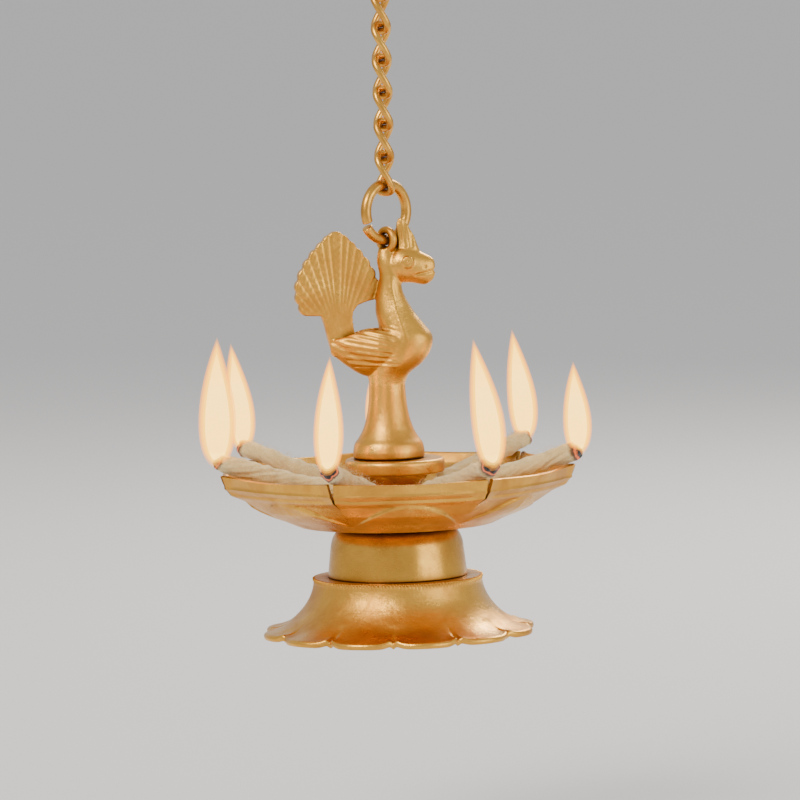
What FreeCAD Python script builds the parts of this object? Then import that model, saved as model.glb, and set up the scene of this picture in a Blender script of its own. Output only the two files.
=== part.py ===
import FreeCAD, Part
import math
import os

import Sketcher
from FreeCAD import Placement, Rotation, Vector

# A small brass oil lamp that hangs from a twisted curb chain: a peacock stands on a pedestal in the
# middle of a seven-cornered oil pan, and a wick lies in each corner.
# Millimetres, +Z up. Each piece is drawn with the foot's rim at height 0 and is then lowered by
# hang_drop, which puts the origin at the point where the top hook bears. The peacock faces +X.

SIZES = {
    # Hanging
    "hang_drop": 251.56,
    "hang_offset": -0.8,
    "running_gap": 0.06,
    # Foot: flared skirt with a scalloped flange, and the drum on it
    "skirt_wall": 1.5,
    "skirt_rim": 44.6,
    "skirt_lobe": 44.2,
    "skirt_cusp": 41.0,
    "skirt_lip": 1.7,
    "skirt_waist": 29.4,
    "skirt_waist_height": 11.0,
    "skirt_top": 27.2,
    "skirt_height": 18.8,
    "skirt_flare_bend": 26.0,
    "skirt_wall_bend": 40.0,
    "skirt_turn": -92.7,
    "drum_radius": 22.4,
    "drum_shoulder": 21.4,
    "drum_shoulder_height": 28.6,
    "drum_crown": 13.0,
    "drum_height": 36.0,
    "drum_crown_bend": 13.5,
    "drum_spigot": 20.9,
    "drum_spigot_drop": 1.6,
    "drum_wall": 1.6,
    "seat_hole": 21.0,
    # Oil pan
    "pan_wall": 1.6,
    "pan_turn": -59.1,
    "pan_slit_width": 2.0,
    "pan_slit_depth": 8.7,
    # Stack on the tie stud
    "stud_radius": 2.4,
    "stud_hole": 2.5,
    "stud_bottom": 27.0,
    "stud_top": 67.0,
    "washer_radius": 6.0,
    "washer_thick": 1.2,
    "nut_flats": 8.0,
    "nut_thick": 4.0,
    "riser_foot": 13.0,
    "riser_foot_thick": 2.0,
    "riser_waist": 8.0,
    "riser_head": 10.5,
    "plinth_radius": 16.0,
    "plinth_bottom": 52.3,
    "plinth_thick": 4.5,
    "plinth_edge": 0.8,
    # Pedestal
    "pedestal_offset": -1.8,
    "pedestal_foot": 11.5,
    "pedestal_edge_height": 2.6,
    "pedestal_edge_taper": 0.4,
    "pedestal_shoulder": 9.6,
    "pedestal_shoulder_height": 6.8,
    "pedestal_neck": 7.0,
    "pedestal_neck_height": 13.0,
    "pedestal_stem": 5.8,
    "pedestal_height": 25.6,
    "pedestal_shoulder_bend": 6.0,
    "pedestal_neck_bend": 11.0,
    "pedestal_stem_bend": 30.0,
    # Tail fan
    "tail_root": -16.5,
    "tail_twist": 12.0,
    "tail_thick": 3.2,
    "fan_centre": -0.7,
    "fan_base": 111.0,
    "fan_rise": 20.0,
    "fan_half_width": 13.2,
    "fan_fullness": 1.8,
    "fan_scallop": 2.7,
    # Lug behind the head
    "lug_height": 126.8,
    "lug_ring": 3.2,
    "lug_wire": 1.25,
    # Ring and chain
    "ring_height": 136.0,
    "ring_radius": 9.0,
    "ring_wire": 3.4,
    "ring_sweep": 350.0,
    "ring_turn": 43.0,
    "ring_gap_turn": -160.0,
    "link_wire": 2.3,
    "link_length": 15.0,
    "link_width": 10.0,
    "link_squareness": 3.0,
    "link_twist": 110.0,
    "link_count": 8,
    "link_rings": 24,
    # Top hook
    "hook_wire": 3.0,
    "hook_eye": 3.8,
    "hook_eye_sweep": 305.0,
    "hook_crook": 7.5,
    "hook_span": 17.3,
    "hook_turn": -50.0,
    # Wicks
    "wick_radius": 3.3,
    "wick_length": 42.0,
    "wick_tip": 1.6,
    "wick_slope": 16.0,
    "wick_rest_radius": 57.0,
    "wick_rest_height": 58.1,
    "wick_reach": 60.5,
    "wick_count": 7,
}

# The pan's outline at each level, outside and inside: its height, and its radius at the corners and
# at the middle of the petals.
PAN_OUTSIDE = [
    (36.0, 32.0, 32.0),
    (39.2, 39.2, 39.0),
    (42.4, 45.6, 44.9),
    (45.9, 51.0, 48.8),
    (47.6, 54.9, 52.6),
    (53.6, 57.0, 55.0),
]
PAN_INSIDE = [
    (37.6, 30.6, 30.6),
    (40.6, 37.6, 37.3),
    (43.8, 44.0, 43.2),
    (47.2, 49.6, 47.4),
    (48.9, 53.2, 50.9),
    (53.7, 55.2, 53.2),
]

# The bird's rounded forms, as ellipses across each form: place along it, centre, half reach and
# half breadth. Upright forms run up Z and level forms run along X.
BREAST_AND_NECK = [
    (81.0, -1.8, 5.8, 5.8),
    (84.1, -1.2, 6.8, 6.4),
    (87.3, 1.0, 8.6, 7.4),
    (91.2, 3.1, 9.3, 7.8),
    (95.8, 4.3, 8.9, 7.4),
    (99.3, 3.4, 7.5, 6.4),
    (103.8, 1.3, 6.2, 5.2),
    (108.3, 0.1, 4.8, 4.1),
    (112.0, -0.1, 3.8, 3.5),
    (116.0, 0.3, 3.7, 3.4),
    (120.4, -0.6, 3.5, 3.0),
    (124.4, -1.2, 2.3, 1.9),
]
BACK = [
    (3.0, 90.6, 7.4, 7.4),
    (-4.0, 90.0, 7.0, 6.8),
    (-9.5, 89.6, 5.9, 5.5),
    (-14.6, 91.2, 4.4, 3.9),
    (-19.6, 93.4, 2.6, 2.4),
]
CREST = [
    (120.4, 5.5, 5.2, 3.0),
    (124.5, 5.7, 3.7, 1.9),
    (128.2, 5.2, 2.8, 1.1),
    (131.6, 4.3, 1.9, 0.8),
    (133.9, 3.9, 0.9, 0.5),
]
HEAD = [
    (-0.6, 118.4, 3.4, 2.8),
    (3.0, 118.9, 5.6, 4.2),
    (7.0, 118.6, 5.6, 4.0),
    (11.2, 117.4, 5.0, 2.9),
    (13.6, 117.4, 3.6, 1.8),
    (14.5, 117.6, 2.2, 1.0),
]

# The tail's root on its rear and front edge, measured from the root's middle, and the fractions of
# the fan's rise at which two scallops meet. A bend is the radius of the arc that arrives there.
TAIL_REAR = [(6.5, 89.0), (-2.5, 90.0), (-4.0, 95.5), (-5.8, 103.6), (-11.0, 103.4)]
TAIL_FRONT = [(5.4, 106.5, -30.0), (3.7, 102.0, 6.0), (4.7, 97.6, 9.0), (8.5, 94.0, 9.0)]
TAIL_TIP = [(12.0, 108.0)]
FAN_LEFT = (-0.2, 0.0, 0.2, 0.38, 0.54, 0.68, 0.8, 0.905)
FAN_RIGHT = FAN_LEFT[:0:-1]

# Each table goes on the sheet too, under aliases such as pan_outside_corner_1.
TABLES = {
    "pan_outside": (("height", "corner", "petal"), PAN_OUTSIDE),
    "pan_inside": (("height", "corner", "petal"), PAN_INSIDE),
    "breast_and_neck": (("along", "centre", "reach", "breadth"), BREAST_AND_NECK),
    "back": (("along", "centre", "reach", "breadth"), BACK),
    "crest": (("along", "centre", "reach", "breadth"), CREST),
    "head": (("along", "centre", "reach", "breadth"), HEAD),
    "tail_rear": (("across", "up"), TAIL_REAR),
    "tail_tip": (("across", "up"), TAIL_TIP),
    "tail_front": (("across", "up", "bend"), TAIL_FRONT),
}
for table, (columns, lines) in TABLES.items():
    for line, values in enumerate(lines, start=1):
        for column, value in zip(columns, values):
            SIZES[f"{table}_{column}_{line}"] = value

doc = FreeCAD.newDocument("peacock_lamp")
sheet = doc.addObject("Spreadsheet::Sheet", "Sizes")
for row, (alias, value) in enumerate(SIZES.items(), start=1):
    sheet.set(f"A{row}", alias)
    sheet.set(f"B{row}", str(value))
    sheet.setAlias(f"B{row}", alias)
doc.recompute()

NODES = []


def size(alias):
    """The sheet's value under an alias."""
    return float(sheet.get(alias))


def size_count(alias):
    return int(size(alias))


def number(text):
    """The value of an expression on the sheet."""
    return float(sheet.evalExpression(text))


def table_lines(table):
    """Expressions for each line of a table on the sheet."""
    columns, lines = TABLES[table]
    count = len(lines)
    return [tuple(f"Sizes.{table}_{column}_{line}" for column in columns) for line in range(1, count + 1)]


def keep(piece, label):
    """Name a finished piece, lower it to the hanging frame and list it as a node."""
    piece.Label = label
    place = piece.Placement
    place.Base.z -= size("hang_drop")
    piece.Placement = place
    NODES.append(piece)
    return piece


# ---- Sketches -------------------------------------------------------------------------------


def new_body(name):
    return doc.addObject("PartDesign::Body", name)


def origin_item(body, role):
    """An axis or plane of a body's own origin."""
    return next(item for item in body.Origin.OriginFeatures if item.Role == role)


def new_sketch(body, role, lift="0"):
    """An empty sketch on one of its own body's origin planes, lifted along the plane's normal."""
    sketch = body.newObject("Sketcher::SketchObject", body.Name + "_outline")
    sketch.AttachmentSupport = [(origin_item(body, role), "")]
    sketch.MapMode = "FlatFace"
    sketch.setExpression("AttachmentOffset.Base.z", lift)
    return sketch


def constrain(sketch, kind, *terms, text=None, name=None):
    """Add one constraint, and bind its value to the sheet where it has one."""
    if text is None:
        return sketch.addConstraint(Sketcher.Constraint(kind, *terms))
    index = sketch.addConstraint(Sketcher.Constraint(kind, *terms, number(text)))
    sketch.renameConstraint(index, name)
    sketch.setExpression("Constraints." + name, text)
    return index


def arc_between(start, end, bend):
    """The shorter arc from start to end; a positive bend turns left, a negative one right."""
    chord = end - start
    middle = (start + end) * 0.5
    left = Vector(-chord.y, chord.x, 0).normalize()
    rise = math.sqrt(max(bend**2 - (chord.Length / 2) ** 2, 0.0))
    centre = middle + left * math.copysign(rise, bend)
    first, last = (start, end) if bend > 0 else (end, start)
    angles = [math.atan2(spot.y - centre.y, spot.x - centre.x) for spot in (first, last)]
    return Part.ArcOfCircle(Part.Circle(centre, Vector(0, 0, 1), abs(bend)), *angles)


def draw_outline(sketch, corners):
    """A closed outline. A corner is (across, up), or (across, up, bend) where an arc arrives."""
    spots = [Vector(number(corner[0]), number(corner[1]), 0) for corner in corners]
    ends = []
    for index, corner in enumerate(corners):
        start = spots[index - 1]
        end = spots[index]
        if len(corner) == 2:
            edge = sketch.addGeometry(Part.LineSegment(start, end), False)
            ends.append((edge, 1, 2))
            continue
        bend = number(corner[2])
        edge = sketch.addGeometry(arc_between(start, end, bend), False)
        ends.append((edge, 1, 2) if bend > 0 else (edge, 2, 1))
        constrain(sketch, "Radius", edge, text=f"abs({corner[2]})", name=f"bend_{index}")
    for index, corner in enumerate(corners):
        edge, _, tail = ends[index]
        following, head, _ = ends[(index + 1) % len(corners)]
        constrain(sketch, "Coincident", edge, tail, following, head)
        constrain(sketch, "DistanceX", -1, 1, edge, tail, text=corner[0], name=f"across_{index}")
        constrain(sketch, "DistanceY", -1, 1, edge, tail, text=corner[1], name=f"up_{index}")


def draw_lobes(sketch, count, cusp, lobe):
    """A closed ring of equal convex arcs that meet at cusps, with one cusp on the X axis."""
    half = 180 / count
    reach = f"({cusp}) * sin({half})"
    rise = f"(({lobe}) - ({cusp}) * cos({half}))"
    bend = f"(({reach}) ^ 2 + {rise} ^ 2) / (2 * {rise})"
    corners = []
    for index in range(count):
        angle = 360 / count * index
        corners.append((f"({cusp}) * cos({angle})", f"({cusp}) * sin({angle})", bend))
    draw_outline(sketch, corners)


def draw_circle(sketch, radius, across="0"):
    centre = Vector(number(across), 0, 0)
    circle = sketch.addGeometry(Part.Circle(centre, Vector(0, 0, 1), number(radius)), False)
    constrain(sketch, "Radius", circle, text=radius, name="circle_radius")
    constrain(sketch, "DistanceX", -1, 1, circle, 3, text=across, name="circle_across")
    constrain(sketch, "PointOnObject", circle, 3, -1)


def turned(name, corners):
    """A body turned about Z from its half section."""
    body = new_body(name)
    sketch = new_sketch(body, "XZ_Plane")
    draw_outline(sketch, corners)
    turn = body.newObject("PartDesign::Revolution", name + "_turn")
    turn.Profile = sketch
    turn.ReferenceAxis = (sketch, ["V_Axis"])
    turn.Angle = 360
    return body


# ---- Foot -----------------------------------------------------------------------------------


def base_skirt():
    """Flared bell foot, hollow below, whose flange is cut to twelve scallops."""
    wall = "Sizes.skirt_wall"
    flare = "Sizes.skirt_flare_bend"
    side = "Sizes.skirt_wall_bend"
    body = turned(
        "base_skirt",
        [
            ("Sizes.skirt_rim", "0"),
            ("Sizes.skirt_rim", "Sizes.skirt_lip"),
            ("Sizes.skirt_waist", "Sizes.skirt_waist_height", "-" + flare),
            ("Sizes.skirt_top", "Sizes.skirt_height", "-" + side),
            ("Sizes.seat_hole", "Sizes.skirt_height"),
            ("Sizes.seat_hole", f"Sizes.skirt_height - {wall}"),
            (f"Sizes.skirt_top - {wall}", f"Sizes.skirt_height - {wall}"),
            (f"Sizes.skirt_waist - {wall}", f"Sizes.skirt_waist_height - {wall} / 2", f"{side} + {wall}"),
            (f"Sizes.skirt_cusp - {wall}", "0", f"{flare} + {wall}"),
        ],
    )
    outline = new_sketch(body, "XY_Plane")
    draw_lobes(outline, 12, "Sizes.skirt_cusp", "Sizes.skirt_lobe")
    draw_circle(outline, "Sizes.skirt_rim + Sizes.skirt_lip")
    trim = body.newObject("PartDesign::Pocket", "skirt_scallops")
    trim.Profile = outline
    trim.SideType = "Symmetric"
    trim.setExpression("Length", "2 * Sizes.skirt_height")
    doc.recompute()
    body.Placement.Rotation = Rotation(Vector(0, 0, 1), size("skirt_turn"))
    return keep(body, "base_skirt")


def base_drum():
    """Inverted cup on the skirt, located by a spigot in the skirt's top hole."""
    wall = "Sizes.drum_wall"
    crown = "Sizes.drum_crown_bend"
    return keep(
        turned(
            "base_drum",
            [
                ("Sizes.drum_spigot", "Sizes.skirt_height - Sizes.drum_spigot_drop"),
                ("Sizes.drum_spigot", "Sizes.skirt_height"),
                ("Sizes.drum_radius", "Sizes.skirt_height"),
                ("Sizes.drum_shoulder", "Sizes.drum_shoulder_height"),
                ("Sizes.drum_crown", "Sizes.drum_height", crown),
                ("Sizes.stud_hole", "Sizes.drum_height"),
                ("Sizes.stud_hole", f"Sizes.drum_height - {wall}"),
                (f"Sizes.drum_crown - {wall} / 2", f"Sizes.drum_height - {wall}"),
                (f"Sizes.drum_shoulder - {wall}", f"Sizes.drum_shoulder_height", f"{wall} - {crown}"),
                (f"Sizes.drum_spigot - {wall}", "Sizes.skirt_height - Sizes.drum_spigot_drop"),
            ],
        ),
        "base_drum",
    )


# ---- Oil pan --------------------------------------------------------------------------------


def pan_levels(body, table):
    """One seven-petalled sketch for each level of the pan."""
    sketches = []
    for height, corner, petal in table_lines(table):
        sketch = new_sketch(body, "XY_Plane", lift=height)
        draw_lobes(sketch, size_count("wick_count"), corner, petal)
        sketches.append(sketch)
    return sketches


def oil_pan():
    """Shallow seven-petalled pan with an open slit at each corner, where a wick lies."""
    body = new_body("oil_pan")
    outside = pan_levels(body, "pan_outside")
    shell = body.newObject("PartDesign::AdditiveLoft", "pan_outside")
    shell.Profile = outside[0]
    shell.Sections = outside[1:]
    shell.Ruled = True
    doc.recompute()
    inside = pan_levels(body, "pan_inside")
    hollow = body.newObject("PartDesign::SubtractiveLoft", "pan_inside")
    hollow.Profile = inside[0]
    hollow.Sections = inside[1:]
    hollow.Ruled = True
    doc.recompute()
    bore = new_sketch(body, "XY_Plane", lift="Sizes.drum_height")
    draw_circle(bore, "Sizes.stud_hole")
    hole = body.newObject("PartDesign::Pocket", "pan_hole")
    hole.Profile = bore
    hole.SideType = "Symmetric"
    hole.setExpression("Length", "4 * Sizes.pan_wall")
    rim = table_lines("pan_outside")[-1][0]
    slit = new_sketch(body, "YZ_Plane")
    half = "Sizes.pan_slit_width / 2"
    top = f"{rim} + Sizes.pan_wall"
    draw_outline(slit, [("0", f"{rim} - Sizes.pan_slit_depth"), (half, top), ("-" + half, top)])
    cut = body.newObject("PartDesign::Pocket", "pan_slit")
    cut.Profile = slit
    cut.Reversed = True
    cut.setExpression("Length", "2 * Sizes.skirt_rim")
    doc.recompute()
    around = body.newObject("PartDesign::PolarPattern", "pan_slits")
    around.Originals = [cut]
    around.Axis = (origin_item(body, "Z_Axis"), [""])
    around.Angle = 360
    around.Occurrences = size_count("wick_count")
    body.Tip = around
    doc.recompute()
    body.Placement.Rotation = Rotation(Vector(0, 0, 1), size("pan_turn"))
    return keep(body, "oil_pan")


# ---- Stack on the tie stud ------------------------------------------------------------------


def stack():
    """Riser, plinth disc, stud, washer and nut, all turned or cut on the pan's axis."""
    floor = table_lines("pan_inside")[0][0]
    hole = "Sizes.stud_hole"
    foot_top = f"{floor} + Sizes.riser_foot_thick"
    plinth_top = "Sizes.plinth_bottom + Sizes.plinth_thick"
    washer_top = "Sizes.drum_height - Sizes.drum_wall"
    riser = [
        (hole, floor),
        ("Sizes.riser_foot", floor),
        ("Sizes.riser_foot", foot_top),
        ("Sizes.riser_waist", f"{foot_top} + Sizes.riser_foot_thick"),
        ("Sizes.riser_waist", "Sizes.plinth_bottom - 2 * Sizes.riser_foot_thick"),
        ("Sizes.riser_head", "Sizes.plinth_bottom"),
        (hole, "Sizes.plinth_bottom"),
    ]
    plinth = [
        (hole, "Sizes.plinth_bottom"),
        ("Sizes.plinth_radius - Sizes.plinth_edge", "Sizes.plinth_bottom"),
        ("Sizes.plinth_radius", "Sizes.plinth_bottom + Sizes.plinth_edge", "Sizes.plinth_edge"),
        ("Sizes.plinth_radius", f"{plinth_top} - Sizes.plinth_edge"),
        ("Sizes.plinth_radius - Sizes.plinth_edge", plinth_top, "Sizes.plinth_edge"),
        (hole, plinth_top),
    ]
    washer = [
        (hole, f"{washer_top} - Sizes.washer_thick"),
        ("Sizes.washer_radius", f"{washer_top} - Sizes.washer_thick"),
        ("Sizes.washer_radius", washer_top),
        (hole, washer_top),
    ]
    keep(turned("riser", riser), "riser")
    keep(turned("plinth_disc", plinth), "plinth_disc")
    keep(turned("washer", washer), "washer")

    stud = doc.addObject("Part::Cylinder", "tie_stud")
    stud.setExpression("Radius", "Sizes.stud_radius")
    stud.setExpression("Height", "Sizes.stud_top - Sizes.stud_bottom")
    stud.Placement.Base = Vector(0, 0, size("stud_bottom"))
    keep(stud, "tie_stud")

    nut = new_body("hex_nut")
    top = f"{washer_top} - Sizes.washer_thick"
    face = new_sketch(nut, "XY_Plane", lift=f"{top} - Sizes.nut_thick")
    reach = "Sizes.nut_flats / 2 / cos(30)"
    corners = [(f"{reach} * cos({60 * k})", f"{reach} * sin({60 * k})") for k in range(6)]
    draw_outline(face, corners)
    draw_circle(face, hole)
    pad = nut.newObject("PartDesign::Pad", "nut_pad")
    pad.Profile = face
    pad.setExpression("Length", "Sizes.nut_thick")
    keep(nut, "hex_nut")


# ---- Peacock --------------------------------------------------------------------------------


def rounded_form(name, upright):
    """A smooth loft through ellipses that stand across the form."""
    rings = []
    for index, (along, centre, reach, breadth) in enumerate(table_lines(name), start=1):
        ring = doc.addObject("Part::Ellipse", f"{name}_{index}")
        flat = number(reach) < number(breadth)
        ring.setExpression("MajorRadius", breadth if flat else reach)
        ring.setExpression("MinorRadius", reach if flat else breadth)
        quarter = Rotation(Vector(0, 0, 1), 90 if flat else 0)
        stand = Rotation() if upright else Rotation(Vector(0, 1, 0), 90)
        ring.Placement = Placement(Vector(), stand * quarter)
        ring.setExpression("Placement.Base.x", centre if upright else along)
        ring.setExpression("Placement.Base.z", along if upright else centre)
        rings.append(ring)
    form = doc.addObject("Part::Loft", name)
    form.Sections = rings
    form.Solid = True
    form.Ruled = False
    return form


def pedestal():
    """Bell foot that narrows to the stem under the bird."""
    foot = "Sizes.plinth_bottom + Sizes.plinth_thick"
    body = turned(
        "pedestal",
        [
            ("0", foot),
            ("Sizes.pedestal_foot", foot),
            ("Sizes.pedestal_foot - Sizes.pedestal_edge_taper", f"{foot} + Sizes.pedestal_edge_height"),
            (
                "Sizes.pedestal_shoulder",
                f"{foot} + Sizes.pedestal_shoulder_height",
                "Sizes.pedestal_shoulder_bend",
            ),
            (
                "Sizes.pedestal_neck",
                f"{foot} + Sizes.pedestal_neck_height",
                "-Sizes.pedestal_neck_bend",
            ),
            (
                "Sizes.pedestal_stem",
                f"{foot} + Sizes.pedestal_height",
                "-Sizes.pedestal_stem_bend",
            ),
            ("0", f"{foot} + Sizes.pedestal_height"),
        ],
    )
    body.Placement.Base.x = size("pedestal_offset")
    return body


def fan_side(fraction, side):
    """A point between two scallops, at a fraction of the fan's rise, left (-1) or right (+1)."""
    half = f"Sizes.fan_half_width * (1 - {abs(fraction)} ^ Sizes.fan_fullness)"
    sign = "-" if side < 0 else "+"
    return f"Sizes.fan_centre {sign} {half}", f"Sizes.fan_base + Sizes.fan_rise * ({fraction})"


def tail():
    """Flat fan on a short root, its edge cut to scallops, turned a little out of the bird's plane."""
    body = new_body("tail")
    sketch = new_sketch(body, "XZ_Plane")
    scallop = "-Sizes.fan_scallop"
    corners = table_lines("tail_rear")
    corners += [(*fan_side(fraction, -1), scallop) for fraction in FAN_LEFT]
    corners += [(*fan_side(fraction, 1), scallop) for fraction in FAN_RIGHT]
    corners += table_lines("tail_tip") + table_lines("tail_front")
    draw_outline(sketch, corners)
    pad = body.newObject("PartDesign::Pad", "tail_pad")
    pad.Profile = sketch
    pad.SideType = "Symmetric"
    pad.setExpression("Length", "Sizes.tail_thick")
    turn = Rotation(Vector(0, 0, 1), size("tail_twist"))
    body.Placement = Placement(Vector(size("tail_root"), 0, 0), turn)
    return body


def lug():
    """Eye behind the head, square to the wire of the ring that passes through it."""
    eye = doc.addObject("Part::Torus", "lug")
    eye.setExpression("Radius1", "Sizes.lug_ring")
    eye.setExpression("Radius2", "Sizes.lug_wire")
    spot = Vector(size("hang_offset"), 0, size("lug_height"))
    face = Rotation(Vector(0, 0, 1), size("ring_turn")) * Rotation(Vector(0, 1, 0), 90)
    eye.Placement = Placement(spot, face)
    return eye


def peacock():
    """One casting: pedestal, bird, fan tail and lug, with a blind hole for the stud below."""
    forms = [
        pedestal(),
        rounded_form("breast_and_neck", upright=True),
        rounded_form("back", upright=False),
        rounded_form("crest", upright=True),
        rounded_form("head", upright=False),
        tail(),
        lug(),
    ]
    doc.recompute()
    bird = doc.addObject("Part::MultiFuse", "bird")
    bird.Shapes = forms
    drill = doc.addObject("Part::Cylinder", "stud_bore")
    drill.setExpression("Radius", "Sizes.stud_radius")
    drill.setExpression("Height", "Sizes.stud_top - Sizes.plinth_bottom")
    drill.Placement.Base = Vector(0, 0, size("plinth_bottom"))
    casting = doc.addObject("Part::Cut", "peacock")
    casting.Base = bird
    casting.Tool = drill
    doc.recompute()
    return keep(casting, "peacock")


# ---- Ring, chain and hook -------------------------------------------------------------------


def hanging_ring():
    """Open ring of round wire through the lug."""
    body = new_body("hanging_ring")
    sketch = new_sketch(body, "XY_Plane")
    draw_circle(sketch, "Sizes.ring_wire / 2", across="Sizes.ring_radius")
    bend = body.newObject("PartDesign::Revolution", "ring_bend")
    bend.Profile = sketch
    bend.ReferenceAxis = (sketch, ["V_Axis"])
    bend.setExpression("Angle", "Sizes.ring_sweep")
    turn = Rotation(Vector(0, 0, 1), size("ring_turn"))
    gap = Rotation(Vector(0, 1, 0), -size("ring_gap_turn"))
    spot = Vector(size("hang_offset"), 0, size("ring_height"))
    body.Placement = Placement(spot, turn * gap)
    return keep(body, "hanging_ring")


def link_shape():
    """A long wire loop, wrung about its own length, closed on itself."""
    wire = size("link_wire")
    side = (size("link_width") - wire) / 2
    half = (size("link_length") - wire) / 2
    square = 2 / size("link_squareness")
    count = 2 * size_count("link_rings")
    points = []
    for step in range(count):
        turn = 2 * math.pi * step / count
        across = side * math.copysign(abs(math.cos(turn)) ** square, math.cos(turn))
        up = half * math.copysign(abs(math.sin(turn)) ** square, math.sin(turn))
        twist = math.radians(-90 - size("link_twist") / 2 * up / half)
        points.append(Vector(across * math.cos(twist), across * math.sin(twist), up))
    line = Part.BSplineCurve()
    line.interpolate(Points=points, PeriodicFlag=True)
    first, last = line.FirstParameter, line.LastParameter
    rings = []
    for step in range(size_count("link_rings")):
        spot = first + (last - first) * step / size_count("link_rings")
        circle = Part.Circle(line.value(spot), line.tangent(spot)[0], wire / 2)
        rings.append(Part.Wire(circle.toShape()))
    return Part.makeLoft(rings, True, False, True)


def link_heights():
    """Centre height of each link, the first at the top."""
    pitch = size("link_length") - 2 * size("link_wire") - size("running_gap")
    ring_inside = size("ring_height") + size("ring_radius") - size("ring_wire") / 2
    lowest = ring_inside - size("running_gap") + size("link_length") / 2 - size("link_wire")
    count = size_count("link_count")
    return [lowest + pitch * (count - 1 - index) for index in range(count)]


def chain():
    """Links in a row, each hanging in the one above."""
    shape = link_shape()
    for index, height in enumerate(link_heights(), start=1):
        link = doc.addObject("Part::Feature", f"chain_link_{index:02d}")
        link.Shape = shape
        link.Placement = Placement(Vector(size("hang_offset"), 0, height), Rotation())
        keep(link, f"chain_link_{index:02d}")


def ceiling_hook():
    """S-hook: a nearly closed eye round the first link, and an open crook above."""
    body = new_body("ceiling_hook")
    path = new_sketch(body, "XZ_Plane")
    eye, crook, span = size("hook_eye"), size("hook_crook"), size("hook_span")
    lean = math.asin((eye + crook) / span)
    left = Vector(-math.cos(lean), math.sin(lean), 0)
    first = left * eye
    second = Vector(0, span, 0) - left * crook
    start = math.pi - lean
    loop = Part.Circle(Vector(0, 0, 0), Vector(0, 0, 1), eye)
    over = Part.Circle(Vector(0, span, 0), Vector(0, 0, 1), crook)
    sweep = math.radians(size("hook_eye_sweep"))
    lower = path.addGeometry(Part.ArcOfCircle(loop, start, start + sweep), False)
    shank = path.addGeometry(Part.LineSegment(first, second), False)
    upper = path.addGeometry(Part.ArcOfCircle(over, -lean, math.pi), False)
    constrain(path, "Coincident", lower, 3, -1, 1)
    constrain(path, "PointOnObject", upper, 3, -2)
    constrain(path, "Radius", lower, text="Sizes.hook_eye", name="eye")
    constrain(path, "Radius", upper, text="Sizes.hook_crook", name="crook")
    constrain(path, "DistanceY", -1, 1, upper, 3, text="Sizes.hook_span", name="span")
    constrain(path, "Tangent", lower, 1, shank, 1)
    constrain(path, "Tangent", shank, 2, upper, 1)
    constrain(path, "Horizontal", upper, 3, upper, 2)
    section = new_sketch(body, "XY_Plane", lift="Sizes.hook_span")
    draw_circle(section, "Sizes.hook_wire / 2", across="-Sizes.hook_crook")
    wire = body.newObject("PartDesign::AdditivePipe", "hook_wire")
    wire.Profile = section
    wire.Spine = (path, [])
    top_link = link_heights()[0] + size("link_length") / 2 - size("link_wire")
    eye_height = top_link - size("running_gap") - size("hook_wire") / 2 + eye
    spot = Vector(size("hang_offset"), 0, eye_height)
    body.Placement = Placement(spot, Rotation(Vector(0, 0, 1), size("hook_turn")))
    bearing = eye_height + span + crook - size("hook_wire") / 2
    if abs(bearing - size("hang_drop")) > size("running_gap"):
        raise RuntimeError(f"hang_drop should be {bearing:.2f}, where the hook bears")
    return keep(body, "ceiling_hook")


# ---- Wicks ----------------------------------------------------------------------------------


def wicks():
    """Rolled cotton wicks, one over each corner of the pan, lower at their inner end."""
    slope = size("wick_slope")
    length = "Sizes.wick_length"
    reach = "Sizes.wick_radius"
    for index in range(size_count("wick_count")):
        name = f"wick_{index + 1}"
        body = new_body(name)
        sketch = new_sketch(body, "XZ_Plane")
        draw_outline(
            sketch,
            [
                (f"-{length}", "0"),
                ("0", "0"),
                ("0", f"{reach} - Sizes.wick_tip"),
                ("-Sizes.wick_tip", reach, "Sizes.wick_tip"),
                (f"Sizes.wick_tip - {length}", reach),
                (f"-{length}", f"{reach} - Sizes.wick_tip", "Sizes.wick_tip"),
            ],
        )
        roll = body.newObject("PartDesign::Revolution", name + "_roll")
        roll.Profile = sketch
        roll.ReferenceAxis = (sketch, ["H_Axis"])
        roll.Angle = 360
        heading = size("pan_turn") + 360 / size("wick_count") * index
        out = size("wick_reach")
        rise = (out - size("wick_rest_radius")) * math.tan(math.radians(slope))
        turn = Rotation(Vector(0, 0, 1), heading)
        spot = turn.multVec(Vector(out, 0, size("wick_rest_height") + rise))
        body.Placement = Placement(spot, turn * Rotation(Vector(0, 1, 0), -slope))
        keep(body, name)


base_skirt()
base_drum()
oil_pan()
stack()
peacock()
hanging_ring()
chain()
ceiling_hook()
wicks()
doc.recompute()

# ---- Check and write ------------------------------------------------------------------------

for item in doc.Objects:
    for fault in ("Invalid", "Error"):
        if fault in item.State:
            raise RuntimeError(f"{item.Name} is {fault}")
os.makedirs("parts", exist_ok=True)
for node in NODES:
    shape = node.Shape
    if shape.isNull() or not shape.isValid() or not shape.Solids:
        raise RuntimeError(f"{node.Label} has no valid solid")
    shape.exportStep(os.path.join("parts", node.Label + ".step"))
    box = shape.BoundBox
    print(f"{node.Label}: {len(shape.Solids)} solid, {shape.Volume:.0f} mm3, "
          f"z {box.ZMin:.2f} to {box.ZMax:.2f}")
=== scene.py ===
import math

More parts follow.
